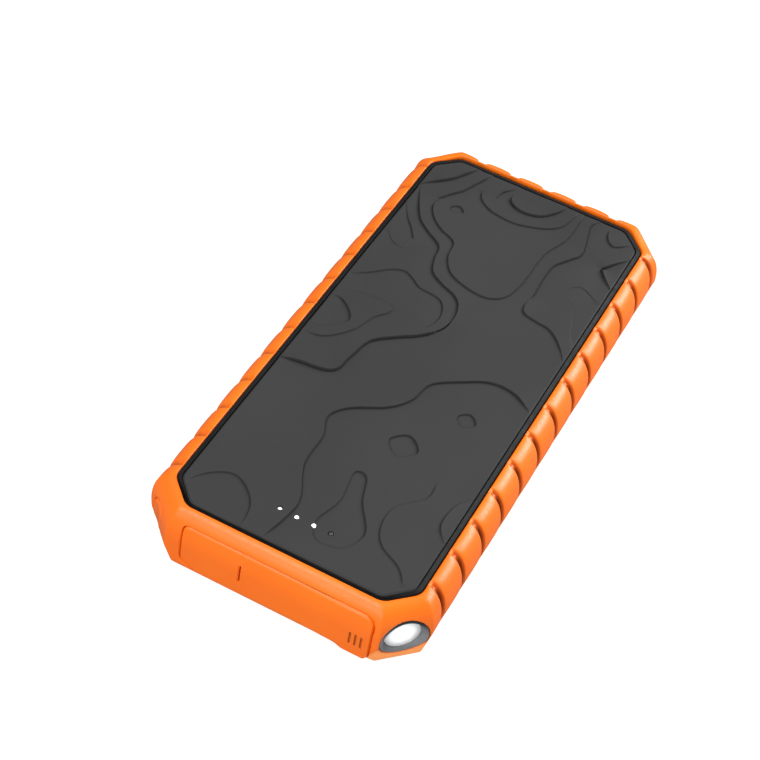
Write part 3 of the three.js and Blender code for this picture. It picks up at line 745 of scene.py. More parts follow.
def bumper_rows():
    """The bumper's closed section. Outside rows are (inset, height) on a crest, then in a groove."""
    rows = [((OPENING_INSET, BUMPER_TOP + dz), (OPENING_INSET, BUMPER_TOP + dz))
            for dz in (0.6 - LIP, -0.25)]
    rows += [(tuple(a), tuple(b)) for a, b in zip(*shoulder_curve())]
    for z in np.arange(BUMPER_TOP - SHOULDER_DROP - 0.4, 0.2, -0.4):
        rows.append(((0.0, z), (GROOVE_DEPTH, z)))
    rows += [((g, z), (g, z)) for g, z in ((0.0, 0.1), (0.35, 0.0))]
    inner = [(BASE_OPENING_INSET - 0.3, 0.0), (BASE_OPENING_INSET, 0.3), (BASE_OPENING_INSET, LIP),
             (CAVITY_INSET, LIP), (CAVITY_INSET, BUMPER_TOP / 2), (CAVITY_INSET, BUMPER_TOP - LIP),
             (OPENING_INSET, BUMPER_TOP - LIP)]
    return rows, inner


GROOVE_STEPS = (0, 0.35, 0.58, 0.68, 0.77, 0.86, 0.95, 1.04, 1.12, 1.2, 1.34, 1.65, 2.2, 3.1)
SIDE_GROOVES = [FIRST_GROOVE_Y - GROOVE_PITCH * i for i in range(GROOVE_COUNT)]
END_GROOVES = [(i - (END_GROOVE_COUNT - 1) / 2) * END_GROOVE_PITCH for i in range(END_GROOVE_COUNT)]


def rib_columns(reach, spacing, centres, clear, widen=0.0):
    """Places along a ribbed side, evenly spread but close together at its grooves."""
    values = set(np.round(np.arange(-reach, reach + 0.1, spacing), 3))
    for centre in centres:
        values = {v for v in values if abs(v - centre) > clear}
        for step in GROOVE_STEPS:
            values |= {round(centre + step + widen, 3), round(centre - step - widen, 3)}
    return sorted(v for v in values if abs(v) <= reach + 0.1)


def face_columns():
    """Places along the port end, close together beside the cover."""
    left, right = ANCHOR_LOW[0] - GAP, COVER_HIGH[0] + GAP
    dense = [left + d for d in (-1.2, -0.8, -0.5, -0.35, -0.2, -0.1, 0, 0.3)]
    dense += [right + d for d in (0.35, 0.2, 0.1, 0, -0.3)]
    spread = list(np.arange(-29.4, -27.6, 0.5)) + list(np.arange(-25.6, 28.6, 0.5))
    return sorted(set(np.round(dense + spread + [29.45], 3)))


# The eight edges from the port end anticlockwise: the columns on each, and the half length of its
# core, where columns keep their places. Beyond it they squeeze up towards the corner.
PORT_END = (face_columns(), 24.0)
CORNER = (list(np.round(np.arange(-5.6, 5.61, 0.28), 3)), 4.0)
LONG_SIDE = (rib_columns(76, 1.0, SIDE_GROOVES, 3.2), 72.0)
FAR_END = (rib_columns(29.4, 1.05, END_GROOVES, 3.7, 0.66), 24.5)
EDGES = [PORT_END, CORNER, LONG_SIDE, CORNER, FAR_END, CORNER, LONG_SIDE, CORNER]
ARC_STEPS = 8


def body_corners(inset, height):
    """The body's eight corners at a shoulder inset, drawn in by each side's own foot."""
    side, near, far, corner = (
        0.0 if height is None else float(foot_inset(height, foot))
        for foot in (FOOT_SIDE, FOOT_NEAR, FOOT_FAR, FOOT_CORNER))
    share = min(inset / OPENING_INSET, 1.0)
    half_x = HALF_WIDTH - inset - side
    half_y = HALF_LENGTH - inset * (HALF_LENGTH - DECK_HALF_LENGTH - GAP) / OPENING_INSET
    if inset > OPENING_INSET:
        half_y = HALF_LENGTH - inset + 0.5
    near_y = half_y - share * DECK_Y - near - NEAR_LIP_SHIFT * share ** 3
    far_y = half_y + share * DECK_Y - far + FAR_LIP_SHIFT * share
    leg = CHAMFER - CHAMFER_SHRINK * inset - side + math.sqrt(2) * corner
    near_leg, far_leg = leg - near, leg - far
    return np.array(mirrored([(half_x - near_leg, -near_y), (half_x, near_leg - near_y),
                              (half_x, far_y - far_leg), (half_x - far_leg, far_y)]))


def edge_frame(start, end):
    """Unit vectors along an edge and out of the body."""
    ahead = unit(end - start)
    return ahead, np.array((ahead[1], -ahead[0]))


def perimeter(inset, height=None):
    """Points round the body at an inset, with each one's outward normal, edge number and place."""
    share = min(inset / OPENING_INSET, 1.0) ** 3
    radius = CORNER_RADIUS + (OPENING_CORNER_RADIUS - CORNER_RADIUS) * share
    corners = body_corners(inset, height)
    points, normals, edges, places = [], [], [], []
    for k, (columns, half_core) in enumerate(EDGES):
        start, end, following = corners[k - 1], corners[k], corners[(k + 1) % 8]
        ahead, out = edge_frame(start, end)
        middle = (start + end) / 2
        limit = np.linalg.norm(end - start) / 2 - radius * math.tan(math.pi / 8)
        core = min(half_core, limit * (0.8 if k % 2 else 0.985))
        values = np.array(columns)
        away = np.abs(values)
        squeezed = core + (away - half_core) * (limit - core) / (away[[0, -1]].max() - half_core)
        along = np.where(away > half_core, np.copysign(squeezed, values), values * core / half_core)
        if EDGES[k] is LONG_SIDE:
            along -= middle @ ahead * smooth_step((half_core - away) / 4)
        _, next_out = edge_frame(end, following)
        centre = end - unit(out + next_out) * radius / math.cos(math.pi / 8)
        arc = [turned(out, math.pi / 4 * step / ARC_STEPS) for step in range(1, ARC_STEPS)]
        points += [*(middle + ahead * along[:, None]), *(centre + normal * radius for normal in arc)]
        normals += [out] * len(values) + arc
        edges += [k] * len(values) + [-1] * len(arc)
        places += [*values] + [0.0] * len(arc)
    return np.array(points), np.array(normals), np.array(edges), np.array(places)


def groove_share(offset, width):
    """1 in a groove, falling to 0 over its rounded edge."""
    return smooth_step((width / 2 + 0.14 - np.abs(offset)) / GROOVE_EDGE)


def crest_drop(offset, width):
    """The crests between grooves are crowned, so they fall away towards each groove."""
    return CREST_DROP * np.exp(-np.maximum(np.abs(offset) - width / 2, 0) / CREST_REACH)


def rib_fields(edges, places):
    """Groove share and crown drop of every column."""
    share = np.zeros(len(edges))
    drop = np.zeros(len(edges))
    side = (SIDE_GROOVES, GROOVE_WIDTH, 1.0)
    end = (END_GROOVES, END_GROOVE_WIDTH, END_GROOVE_SHARE)
    for edge, sign, (centres, width, full) in ((2, 1, side), (6, -1, side), (4, 1, end)):
        here = edges == edge
        for centre in centres:
            offset = places[here] * sign - centre
            share[here] = np.maximum(share[here], full * groove_share(offset, width))
            drop[here] = np.maximum(drop[here], crest_drop(offset, width))
    return share, drop


def hole_rounding(points, edges):
    """How far the surface dips beside the cover's recess, the torch and the button."""
    drop = np.zeros(len(points))
    face, torch_side, button_side = (edges == edge for edge in (0, 1, 7))
    away = outside_distance(points[face][:, (0, 2)], cover_outline(GAP))
    drop[face] = rounding(away, RECESS_EDGE)
    local = in_place(np.linalg.inv(np.array(TORCH, float)), points[torch_side])
    away = np.linalg.norm(local[:, :2], axis=1) - TORCH_RADIUS - GAP
    drop[torch_side] = rounding(away, HOLE_EDGE)
    local = in_place(np.linalg.inv(np.array(BUTTON, float)), points[button_side])
    away = outside_distance(local[:, :2], button_outline(GAP))
    drop[button_side] = rounding(away, HOLE_EDGE)
    return drop


def bumper_loops():
    outside, inner = bumper_rows()
    loops = []
    for (inset, height), (low_inset, low_height) in outside:
        flat, normals, edges, places = perimeter(inset, height)
        share, crown = rib_fields(edges, places)
        fade = smooth_step((height - GROOVE_FOOT[0]) / (GROOVE_FOOT[1] - GROOVE_FOOT[0]))
        over_shoulder = smooth_step((OPENING_INSET - inset) / 2.0)
        inward = share * (low_inset - inset) * fade + crown * fade * over_shoulder
        points = at_height(flat, height)
        points[:, :2] -= normals * inward[:, None]
        points[:, 2] += share * (low_height - height) * fade - 0.5 * crown * over_shoulder * (
            height > BUMPER_TOP - SHOULDER_DROP)
        far_share = smooth_step((flat[:, 1] - END_START) / 6.5)
        points[:, 2] += FAR_LIP * far_share * smooth_step((height - BUMPER_TOP) / FAR_LIP_FALL + 1)
        points[:, :2] -= normals * hole_rounding(points, edges)[:, None]
        loops.append(points)
    return loops + [at_height(perimeter(inset)[0], height) for inset, height in inner]


def bumper():
    body = loft("rubber_bumper", bumper_loops(), closed_ring=True)
    back = HALF_LENGTH - (COVER_HIGH[1] - COVER_LOW[1]) - GAP
    recess = prism("recess", cover_outline(GAP), back, HALF_LENGTH + 2, FRONT_VIEW)
    left, right = PORT_LOW[0] - GAP, PORT_HIGH[0] + GAP
    low, high = PORT_LOW[2] - GAP, PORT_HIGH[2] + GAP
    window = rounded_polygon([(left, low), (right, low), (right, high), (left, high)], 0.8)
    ports = prism("ports", window, HALF_LENGTH - 6, HALF_LENGTH - 1, FRONT_VIEW)
    deep, clear = HOLE_CUT
    torch = lathe("torch_cut", [(TORCH_RADIUS + GAP, deep), (TORCH_RADIUS + GAP, clear)], TORCH)
    button = prism("button_cut", button_outline(GAP), deep, clear, BUTTON)
    pocket = prism("pocket_cut", button_outline(BUTTON_FLANGE + GAP), deep, -1.9, BUTTON)
    carve(body, recess, ports, torch, button, pocket)
    shade(body, BUMPER_SHARP_ANGLE)
    finish(body, "orange_rubber", replaces=("bumper",))


bumper()


# ---- lid with its bevelled rim ----

def lid_loop(half_x, half_y, leg, centre_y, radius, height):
    return at_height(rounded_polygon(octagon_corners(half_x, half_y, leg, centre_y), radius, 8), height)


LID_CHAMFER = 7.6
LID_WALL = 1.8
LID_CEILING = 19.5
LID_LEDGE = 20.1
NEAR_RIM_DROP = 0.75


def lid():
    """A tray turned upside down, with a raised and bevelled rim round the relief plate."""
    lid_x, lid_y, rim_top = LID_HIGH

    def deck(in_x, in_near, in_far, height):
        share = (in_x + in_near) / 2
        middle = DECK_Y + (in_near - in_far) / 2
        return lid_loop(DECK_HALF_WIDTH - in_x, DECK_HALF_LENGTH - (in_near + in_far) / 2,
                        7.0 - 0.6 * share, middle, 4.4 - 0.6 * share, height)

    def shell(inset, height):
        return lid_loop(lid_x - inset, lid_y - inset, LID_CHAMFER - 0.55 * inset, 0.0, 2.2, height)

    loops = [shell(LID_WALL, LID_CEILING), shell(LID_WALL, LID_LOW[2]), shell(0, LID_LOW[2]),
             shell(0, LID_LEDGE)]
    rim = [(0, 0.25, 0, LID_LEDGE), (0, 0.25, 0, rim_top - 0.6), (0.08, 0.28, 0.1, rim_top - 0.46),
           (0.94, 0.47, 1.24, rim_top - 0.1), (1.0, 0.5, 1.31, rim_top - 0.03),
           (1.06, 0.53, 1.38, rim_top), (1.12, 0.57, 1.46, rim_top - 0.05),
           (1.14, 0.59, 1.5, rim_top - 0.2), (1.14, 0.59, 1.5, PLATE_UNDERSIDE - 0.02)]
    loops += [deck(*row) for row in rim]
    for loop in loops[6:12]:
        loop[:, 2] -= NEAR_RIM_DROP * smooth_step((-END_START - loop[:, 1]) / 3.0)
    finish(loft("lid_and_rim", loops), "black_plastic", replaces=("top_housing",))


lid()


# ---- relief plates: a triangulated outline with stepped lines, given thickness ----

STEP_HALF_WIDTH = 0.1
LINE_CLEARANCE = 0.25
GRID_CLEARANCE = 0.4


def offset_line(line, distance, closed):
    ahead = np.roll(line, -1, axis=0) - np.roll(line, 1, axis=0)
    if not closed:
        ahead[0] = line[1] - line[0]
        ahead[-1] = line[-1] - line[-2]
    ahead /= np.maximum(np.linalg.norm(ahead, axis=1), 1e-9)[:, None]
    return line + np.stack((-ahead[:, 1], ahead[:, 0]), axis=1) * distance


def well_inside(lines, outline):
    """The parts of the lines, given as (points, closed), that lie well inside the outline."""
    kept = []
    for line, closed in lines:
        keep = outside_distance(line, outline) < -LINE_CLEARANCE
        if keep.all():
            kept.append((line, closed))
            continue
        for run in np.split(np.arange(len(line)), np.flatnonzero(~keep)):
            run = run[keep[run]]
            if len(run) > 1:
                kept.append((line[run], False))
    return kept


def triangulated(outline, holes, lines, grid):
    """Triangles filling the outline round its holes, with an edge along every line."""
    points, edges = [], []
    for run, closed in [(loop, True) for loop in (outline, *holes)] + well_inside(lines, outline):
        first = len(points)
        points += run.tolist()
        edges += [(i, i + 1) for i in range(first, len(points) - 1)]
        if closed:
            edges.append((len(points) - 1, first))
    tree = kdtree.KDTree(len(points))
    for i, (x, y) in enumerate(points):
        tree.insert((x, y, 0), i)
    tree.balance()
    free = grid[inside(grid, outline)]
    points += [p.tolist() for p in free if tree.find((*p, 0))[2] > GRID_CLEARANCE]
    result = delaunay_2d_cdt([Vector(p) for p in points], edges, [], 0, 1e-5)
    made = np.array([(v.x, v.y) for v in result[0]])
    faces = np.array([f for f in result[2] if len(f) == 3])
    centres = made[faces].mean(1)
    keep = inside(centres, outline)
    for hole in holes:
        keep &= ~inside(centres, hole)
    return made, faces[keep]


def relief_solid(name, made, faces, front, back, matrix=Matrix.Identity(4), sharp_angle=28):
    """A closed slab: front heights over the triangles, and a flat back."""
    used = np.unique(faces)
    index = np.full(len(made), -1)
    index[used] = np.arange(len(used))
    faces = index[faces]
    made, front = made[used], front[used]
    count = len(made)
    top = np.column_stack((made, front))
    under = at_height(made, back)
    all_faces = [tuple(f) for f in faces] + [tuple(f[::-1] + count) for f in faces]
    seen = {(a, b) for f in faces for a, b in ((f[0], f[1]), (f[1], f[2]), (f[2], f[0]))}
    for a, b in seen:
        if (b, a) not in seen:
            all_faces.append((b, a, a + count, b + count))
    points = in_place(matrix, np.vstack((top, under)))
    return mesh_object(name, points, [tuple(int(v) for v in f) for f in all_faces], sharp_angle)


def square_grid(low, high, spacing):
    xs = np.arange(low[0], high[0] + spacing, spacing)
    ys = np.arange(low[1], high[1] + spacing, spacing)
    grid = np.stack(np.meshgrid(xs, ys), axis=-1)
    grid[1::2, :, 0] += spacing / 2
    return grid.reshape(-1, 2)


# ---- deck plate ----

# Contour steps of the relief, measured from the deck's centre. Travelling along each one, the lower
# ground is on the named side; a ring's inside is raised or lowered as a whole.
STEPS = [
    ("left", 0.95, [(-19, 84), (-23.5, 76), (-26.5, 70.9), (-32.6, 64.3), (-33.6, 62)]),
    ("right", 0.6, [(-32.9, 64), (-31.7, 59.8), (-26.9, 50.4), (-22.3, 46), (-16.5, 41.9), (-15.1, 36.1),
     (-13.1, 30.9), (-8.8, 27.9), (-3.8, 25.6), (-1, 22.4), (0.3, 16.9), (-0.6, 11), (-4, 6.5)]),
    ("left", 0.95, [(0.3, 16), (-1, 10.5), (-5, 5.2), (-9.5, 1.5), (-15.5, -4.5), (-17.3, -13),
     (-19, -20.3), (-29, -22.4), (-34, -24)]),
    ("left", 0.7, [(-15, 84), (-18.7, 75), (-21.1, 68.8), (-23.6, 64.9), (-26.2, 60)]),
    ("right", 0.48, [(-25.6, 62.4), (-25.7, 57), (-23.2, 52.3), (-19, 48.6), (-13.5, 45.5), (-12, 38.5),
     (-7.5, 32.5), (2, 29.7), (8, 32.2), (10.5, 40), (11, 56), (14, 67), (14, 82)]),
    ("right", 0.45, [(-16.8, 72.6), (-14.7, 68.3), (-10.8, 65.4), (-5.9, 64.3), (-1.6, 64.2), (3, 65.6),
     (7.3, 67.6), (10.3, 70.5), (11.4, 74.1), (12.7, 82)]),
    ("right", 0.5, [(-11.6, 70.8), (-11.1, 74.6), (-8.6, 77.8), (-6, 82.6)]),
    ("right", 0.75, [(-7.3, 76), (-7.3, 73.4), (-5.3, 71.2), (-1.8, 70.1), (3, 71.2), (6, 74.3), (7.9, 78),
     (9, 83)]),
    ("left", 0.7, [(21.5, 82), (17.8, 77.2), (18.6, 72.2), (20.3, 63.4), (18, 58.6), (15.2, 53.3),
     (14.9, 46.4), (15.3, 38.8), (15, 34)]),
    ("right", 0.5, [(15.3, 39.5), (15.1, 32.8), (16.6, 30.4), (20.6, 29.4), (25.2, 28.4), (30, 24),
     (34.5, 17)]),
    ("right", 0.47, [(23.2, 78), (24.5, 74), (27.4, 72), (31, 75), (33, 76.4)]),
    ("left", 0.9, [(34.5, 70.4), (30.4, 65.3), (27.7, 60.9)]),
    ("right", 0.9, [(27.6, 61.2), (30.4, 57.4), (34.6, 52.8)]),
    ("left", 0.22, [(34, 45.5), (26, 50.2), (22.5, 45.5), (27.5, 40), (30.5, 31), (33.5, 25)]),
    ("right", 0.4, [(-34, 15.4), (-28, 20.4), (-24.9, 23.7), (-22.5, 25.6), (-19.7, 26.6), (-16.7, 25.1),
     (-13.4, 22.9), (-9.1, 22.5), (-5.8, 21.3), (-3.7, 17.6), (-3.2, 13.1), (-4.5, 8.5)]),
    ("left", 0.39, [(-30, 10.8), (-18, 11.5), (-16, 9), (-19, 4), (-21.5, -3.5), (-27, -10), (-34, -11.3)]),
    ("right", 0.36, [(-33.8, 54.6), (-29.9, 48.3), (-27, 44.7), (-23.8, 39.9)]),
    ("left", 0.2, [(-24.4, 37.6), (-25.2, 35.2), (-28.4, 35.6), (-33, 40)]),
    ("left", 0.65, [(34, -4.5), (27, 0), (20, 0.2), (13, -4), (6, -10), (4.2, -18), (0, -24), (-8.5, -30),
     (-12, -36), (-9.8, -43), (-9.3, -54), (-4.6, -65), (-4.6, -72), (-7, -83)]),
    ("right", 0.35, [(23, -40), (23, -47), (17.5, -54), (17, -61), (20, -67), (27, -71.2), (31.2, -77)]),
    ("right", 0.55, [(34.5, -39), (30.6, -45), (30, -53), (34, -59)]),
]
RINGS = [
    (-0.43, [(-21.3, 59.5), (-19, 61.6), (-16.8, 59.5), (-19, 57.4)]),
    (-0.47, [(-38, -0.5), (-31, 6.4), (-24, -0.5), (-31, -7.4)]),
    (-0.41, [(17.2, -16.5), (20, -13.7), (22.8, -16.5), (20, -19.3)]),
    (-0.47, [(5.4, -34), (9.7, -29.7), (14, -34), (9.7, -38.3)]),
    (-0.43, [(3, -49.5), (6.5, -49), (9.5, -57), (14.8, -66), (12, -73.5), (5, -74.5), (2.2, -69),
     (4.2, -60)]),
    (-0.36, [(-22.5, -67), (-14, -74), (-15, -86), (-30, -86), (-31, -74)]),
]
STEP_SPACING = 0.7
STEP_FADE = 6.0
END_FADE = 0.07


def deck_lines():
    """Every contour line in place, as (line, closed, height, lower side)."""
    lines = []
    for low_side, height, knots in STEPS:
        line = smooth_curve(knots, STEP_SPACING) + (0, DECK_Y)
        lines.append((line, False, height, 1 if low_side == "left" else -1))
    for height, knots in RINGS:
        line = smooth_curve(knots, STEP_SPACING / 2, closed=True) + (0, DECK_Y)
        lines.append((line, True, height, 0))
    return lines


def step_height(points, line, closed, height, low_side):
    """A ring lifts or lowers its inside; an open step fades away from its wall and at loose ends."""
    result = np.zeros(len(points))
    near = ((points > line.min(0) - 25) & (points < line.max(0) + 25)).all(1)
    distance, side, place = to_line(points[near], line, closed)
    if closed:
        result[near] = np.where(inside(points[near], line), height, 0.0)
        return result
    loose = []
    for end, share in ((line[0], place), (line[-1], 1 - place)):
        on_edge = abs(end[0]) > PLATE_HALF_WIDTH or abs(end[1] - DECK_Y) > PLATE_HALF_LENGTH - 1
        loose.append(np.ones_like(share) if on_edge else smooth_step(share / END_FADE))
    strength = loose[0] * loose[1] * np.exp(-distance / STEP_FADE)
    result[near] = -0.5 * height * side * low_side * strength
    return result


def lamp_centres():
    boxes = [box_mm(f"light_pipe_{i}") for i in range(1, 5)]
    return [((low + high) / 2)[:2] for low, high in boxes]


def circle(centre, radius, count=28):
    angles = np.linspace(0, 2 * math.pi, count, endpoint=False)
    return np.stack((np.cos(angles), np.sin(angles)), axis=1) * radius + centre


def deck_plate():
    corners = octagon_corners(PLATE_HALF_WIDTH, PLATE_HALF_LENGTH, PLATE_CHAMFER, PLATE_Y)
    outline = subdivided(rounded_polygon(corners, PLATE_CORNER_RADIUS, 8), 1.2)
    rings = [offset_line(outline, inset, True) for inset in (0.08, 0.2, PLATE_EDGE)]
    holes = [circle(centre, LAMP_HOLE_RADIUS) for centre in lamp_centres()]
    contours = deck_lines()
    lines = [(ring, True) for ring in rings]
    for line, closed, _, _ in contours:
        lines += [(offset_line(line, side * STEP_HALF_WIDTH, closed), closed) for side in (-1, 1)]
    grid = square_grid((-PLATE_HALF_WIDTH, PLATE_LOW[1]), (PLATE_HALF_WIDTH, PLATE_HIGH[1]), 1.7)
    made, faces = triangulated(outline, holes, lines, grid)
    front = np.full(len(made), PLATE_TOP)
    for contour in contours:
        front += step_height(made, *contour)
    edge = -outside_distance(made, outline)
    front = PLATE_TOP + (front - PLATE_TOP) * (0.3 + 0.7 * smooth_step(edge / 5.0))
    front -= rounding(edge, PLATE_EDGE)
    plate = relief_solid("relief_plate", made, faces, front, PLATE_UNDERSIDE)
    finish(plate, "grey_plate", replaces=("deck_plate",))


deck_plate()


# ---- charge lamps ----

def charge_lamps():
    for i, (x, y) in enumerate(lamp_centres(), start=1):
        base = box_mm(f"light_pipe_{i}")[0][2]
        matrix = Matrix.Translation((x, y, 0))
        r = LAMP_RADIUS
        top = PLATE_TOP - LAMP_RECESS
        flange_low, flange_top = LAMP_FLANGE
        profile = [(0.02, base), (r - 0.1, base), (r, base + 0.1), (r, flange_low), (1.5, flange_low),
                   (1.5, flange_top), (r, flange_top), (r, top - 0.2), (r - 0.05, top - 0.12),
                   (r - 0.2, top - 0.06), (r * 0.5, top - 0.01), (0.02, top)]
        pipe = lathe(f"lamp_pipe_{i}", profile, matrix, 40)
        finish(pipe, "light_pipe", replaces=(f"light_pipe_{i}",),
               material="light_pipe" if i <= LIT_LAMPS else "lamp_unlit")


charge_lamps()


# ---- port cover ----

GRIP_XS = (23.2, 24.8, 26.4)
GRIP_HALF_WIDTH = 0.21
GRIP_LOW, GRIP_HIGH = 7.6, 11.6
GRIP_DEPTH = 0.34
PROUD = 0.32
SWELL_START, SWELL_LENGTH = 8, 14
TAB_BLEND = 3


def cover_front(points, outline, edge_radius):
    """Height of the cover's face: flush with the body, swelling proud towards the pull end."""
    x, z = points[:, 0], points[:, 1]
    swell = smooth_step((x - SWELL_START) / SWELL_LENGTH)
    upright = smooth_step((x - TAB_LEFT + TAB_BLEND) / TAB_BLEND)
    surface = HALF_LENGTH - face_inset(z) + upright * foot_inset(z, FOOT_NEAR) + PROUD * swell
    surface -= rounding(-outside_distance(points, outline), edge_radius)
    for grip_x in GRIP_XS:
        middle = np.clip(z, GRIP_LOW, GRIP_HIGH)
        away = np.hypot(x - grip_x, z - middle)
        surface -= GRIP_DEPTH * smooth_step((GRIP_HALF_WIDTH + 0.12 - away) / 0.2)
    return surface


def grip_lines():
    lines = []
    for grip_x in GRIP_XS:
        for grow in (-0.1, 0.14):
            width = 2 * (GRIP_HALF_WIDTH + grow)
            shape = stadium(width, GRIP_HIGH - GRIP_LOW + width, 6)
            lines.append((shape + (grip_x, (GRIP_LOW + GRIP_HIGH) / 2), True))
    return lines


def cover_piece(name, cut_x, side, lines, edge_radius):
    """The cover right (1) or left (-1) of a cut, as a slab that follows the body's surface."""
    whole = subdivided(cover_outline(0.0), 0.7)
    kept = whole[(whole[:, 0] - cut_x) * side > 0]
    start = int(np.argmax(np.linalg.norm(np.roll(kept, 1, axis=0) - kept, axis=1)))
    heights = np.arange(COVER_BOTTOM, ANCHOR_HIGH[2] + 0.01, 0.7)[::-side]
    straight = np.column_stack((np.full(len(heights), cut_x), heights))
    outline = np.vstack((np.roll(kept, -start, axis=0), straight))
    rings = [(offset_line(outline, inset, True), True) for inset in (0.06, 0.16, 0.3, 0.5)]
    grid = square_grid(outline.min(0), outline.max(0), 0.9)
    made, faces = triangulated(outline, [], rings + lines, grid)
    front = cover_front(made, outline, edge_radius)
    return relief_solid(name, made, faces, front, -COVER_HIGH[1], FRONT_VIEW, 40)


def port_cover():
    door = cover_piece("port_door", COVER_LOW[0], 1, grip_lines(), 0.5)
    finish(door, "orange_rubber", "port_cover", replaces=("port_cover",))
    fixed = cover_piece("port_cover_fixed_end", ANCHOR_HIGH[0], -1, [], 0.35)
    finish(fixed, "orange_rubber", replaces=("port_cover_anchor",))


port_cover()


# ---- torch ----

RING_FLOOR = -1.7


def follow_corner(obj, matrix, base):
    """Squeezes a piece's front towards a base depth so that it follows the tapering corner."""
    into = np.array(matrix.inverted(), float)
    back = np.array(matrix, float)
    for vertex in obj.data.vertices:
        point = np.array(vertex.co) / MM
        local = into[:3, :3] @ point + into[:3, 3]
        if local[2] > base:
            room = -base - float(corner_inset(point[2]))
            local[2] = base + (local[2] - base) * max(room, 0.02) / -base
            vertex.co = (back[:3, :3] @ local + back[:3, 3]) * MM


def torch():
    rim = TORCH_RADIUS + 0.18
    bezel = [(rim, -4.1), (rim, -0.55), (rim - 0.08, -0.3), (rim - 0.3, -0.1), (rim - 0.5, -0.05),
             (rim - 0.66, -0.14), (rim - 0.78, -0.34), (5.32, -1.5), (5.2, -1.6), (5.14, -1.75),
             (5.14, -4.1)]
    ring = lathe("torch_ring", bezel, TORCH, ring=True)
    follow_corner(ring, TORCH, RING_FLOOR)
    finish(ring, "grey_bezel", replaces=("torch_bezel",))
    lens = [(0.02, -3.4), (4.84, -3.4), (4.94, -3.3), (4.94, -2.2), (4.86, -2.04), (4.64, -1.96),
            (3.7, -1.74), (2.4, -1.57), (1.2, -1.48), (0.02, -1.46)]
    finish(lathe("torch_window", lens, TORCH), "clear_lens", replaces=("torch_lens",))
    cup = [(1.6, -6.5), (5.1, -6.5), (5.2, -6.4), (5.2, -4.6), (5.1, -4.5), (4.6, -4.5)]
    cup += [(1.6 + 2.95 * math.sqrt(k / 8), -6.3 + 1.8 * k / 8) for k in range(8, -1, -1)]
    finish(lathe("torch_cup", cup, TORCH, ring=True), "mirror_coat", replaces=("torch_reflector",))
    dome = [(0.02, -6.7), (1.2, -6.7), (1.2, -6.3), (1.05, -6.0), (0.75, -5.75), (0.4, -5.63),
            (0.02, -5.6)]
    finish(lathe("torch_emitter", dome, TORCH, 48), "lamp_yellow", replaces=("torch_led",),
           material="light_pipe")


torch()


# ---- button ----

def power_button():
    stem = stadium(2.4, 2.401)
    outlines = [(stadium(0.128, 0.2), -7.35), (stem, -7.35), (stem, -3.0)]
    outlines += [(button_outline(grow), height) for grow, height in (
        (BUTTON_FLANGE, -3.0), (BUTTON_FLANGE, BUTTON_BASE), (0, BUTTON_BASE), (0, -0.45),
        (-0.05, -0.24), (-0.2, -0.08),
        (-0.45, 0.0), (-0.8, 0.0), (-1.1, -0.06), (-1.5, -0.12), (-2.4, -0.16))]
    button = loft("corner_button", [in_place(BUTTON, at_height(*pair)) for pair in outlines])
    follow_corner(button, BUTTON, BUTTON_BASE)
    finish(button, "orange_rubber", "power_button", replaces=("power_button",))


power_button()


# ---- sockets behind the cover ----

def rounded_box_shape(width, height, radius):
    u, v = width / 2, height / 2
    return rounded_polygon([(-u, -v), (u, -v), (u, v), (-u, v)], radius, 5)


def socket_shell(name, node, shape):
    """A folded steel mouth with a rounded front edge."""
    low, high = box_mm(node)
    x, z = (low[0] + high[0]) / 2, (low[2] + high[2]) / 2
    width, height = high[0] - low[0], high[2] - low[2]
    steps = [(0, high[1]), (0, low[1] + 0.12), (0.04, low[1] + 0.03), (0.12, low[1]),
             (0.2, low[1] + 0.02), (0.28, low[1] + 0.1), (0.3, low[1] + 0.3), (0.3, high[1])]
    loops = [[(x + u, y, z + v) for u, v in shape(width - 2 * d, height - 2 * d)] for d, y in steps]
    finish(loft(name, loops, closed_ring=True), "steel", replaces=(node,))
    return x, z


def contact(name, x, half_width, near, far, heights, bevel):
    low, high = sorted(heights)
    strip = soft_block(name, (x - half_width, near, low), (x + half_width, far, high), bevel)
    finish(strip, "steel", material="contact_gold")


def sockets():
    x, z = socket_shell("usb_a_mouth", "usb_a_shell", lambda w, h: rounded_box_shape(w, h, 0.5))
    for i in range(4):
        contact(f"usb_a_contact_{i + 1}", x + (i - 1.5) * 2.3, 0.55, -82.9, -76.0,
                (z + 0.05, z + 0.2), 0.03)
    x, z = socket_shell("usb_c_mouth", "usb_c_shell",
                        lambda w, h: rounded_box_shape(w, h, h / 2 - 0.001))
    for i in range(8):
        for side, tag in ((1, "top"), (-1, "low")):
            base = z + side * 0.35
            contact(f"usb_c_contact_{tag}_{i + 1}", x + (i - 3.5) * 0.7, 0.15, -83.1, -79.5,
                    (base, base + side * 0.06), 0.015)


sockets()


# ---- rubber fold between the fixed end and the door ----

FOLD_HALF_WIDTH = 0.5
FOLD_SLIT = (9.2, 15.4)
FOLD_THICKNESS = 0.45


def cover_fold():
    """A thin web across the fold, open in the middle where it is slit."""
    for name, low, high in (("cover_fold_top", FOLD_SLIT[1], ANCHOR_HIGH[2] - 0.04),
                            ("cover_fold_low", COVER_BOTTOM + 0.4, FOLD_SLIT[0])):
        heights = np.linspace(low, high, 12)
        surface = face_inset(heights) - HALF_LENGTH + 0.05 + rounding(ANCHOR_HIGH[2] - heights, 0.4)
        outer = np.column_stack((surface, heights))
        section = np.vstack((outer, outer[::-1] + (FOLD_THICKNESS, 0)))
        loops = [np.column_stack((np.full(len(section), x), section))
                 for x in np.linspace(FOLD_X - FOLD_HALF_WIDTH, FOLD_X + FOLD_HALF_WIDTH, 13)]
        web = loft(name, loops)
        web.data.materials.append(MATERIALS["orange_rubber"])
        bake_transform(web)


cover_fold()


# ---- housing screws ----

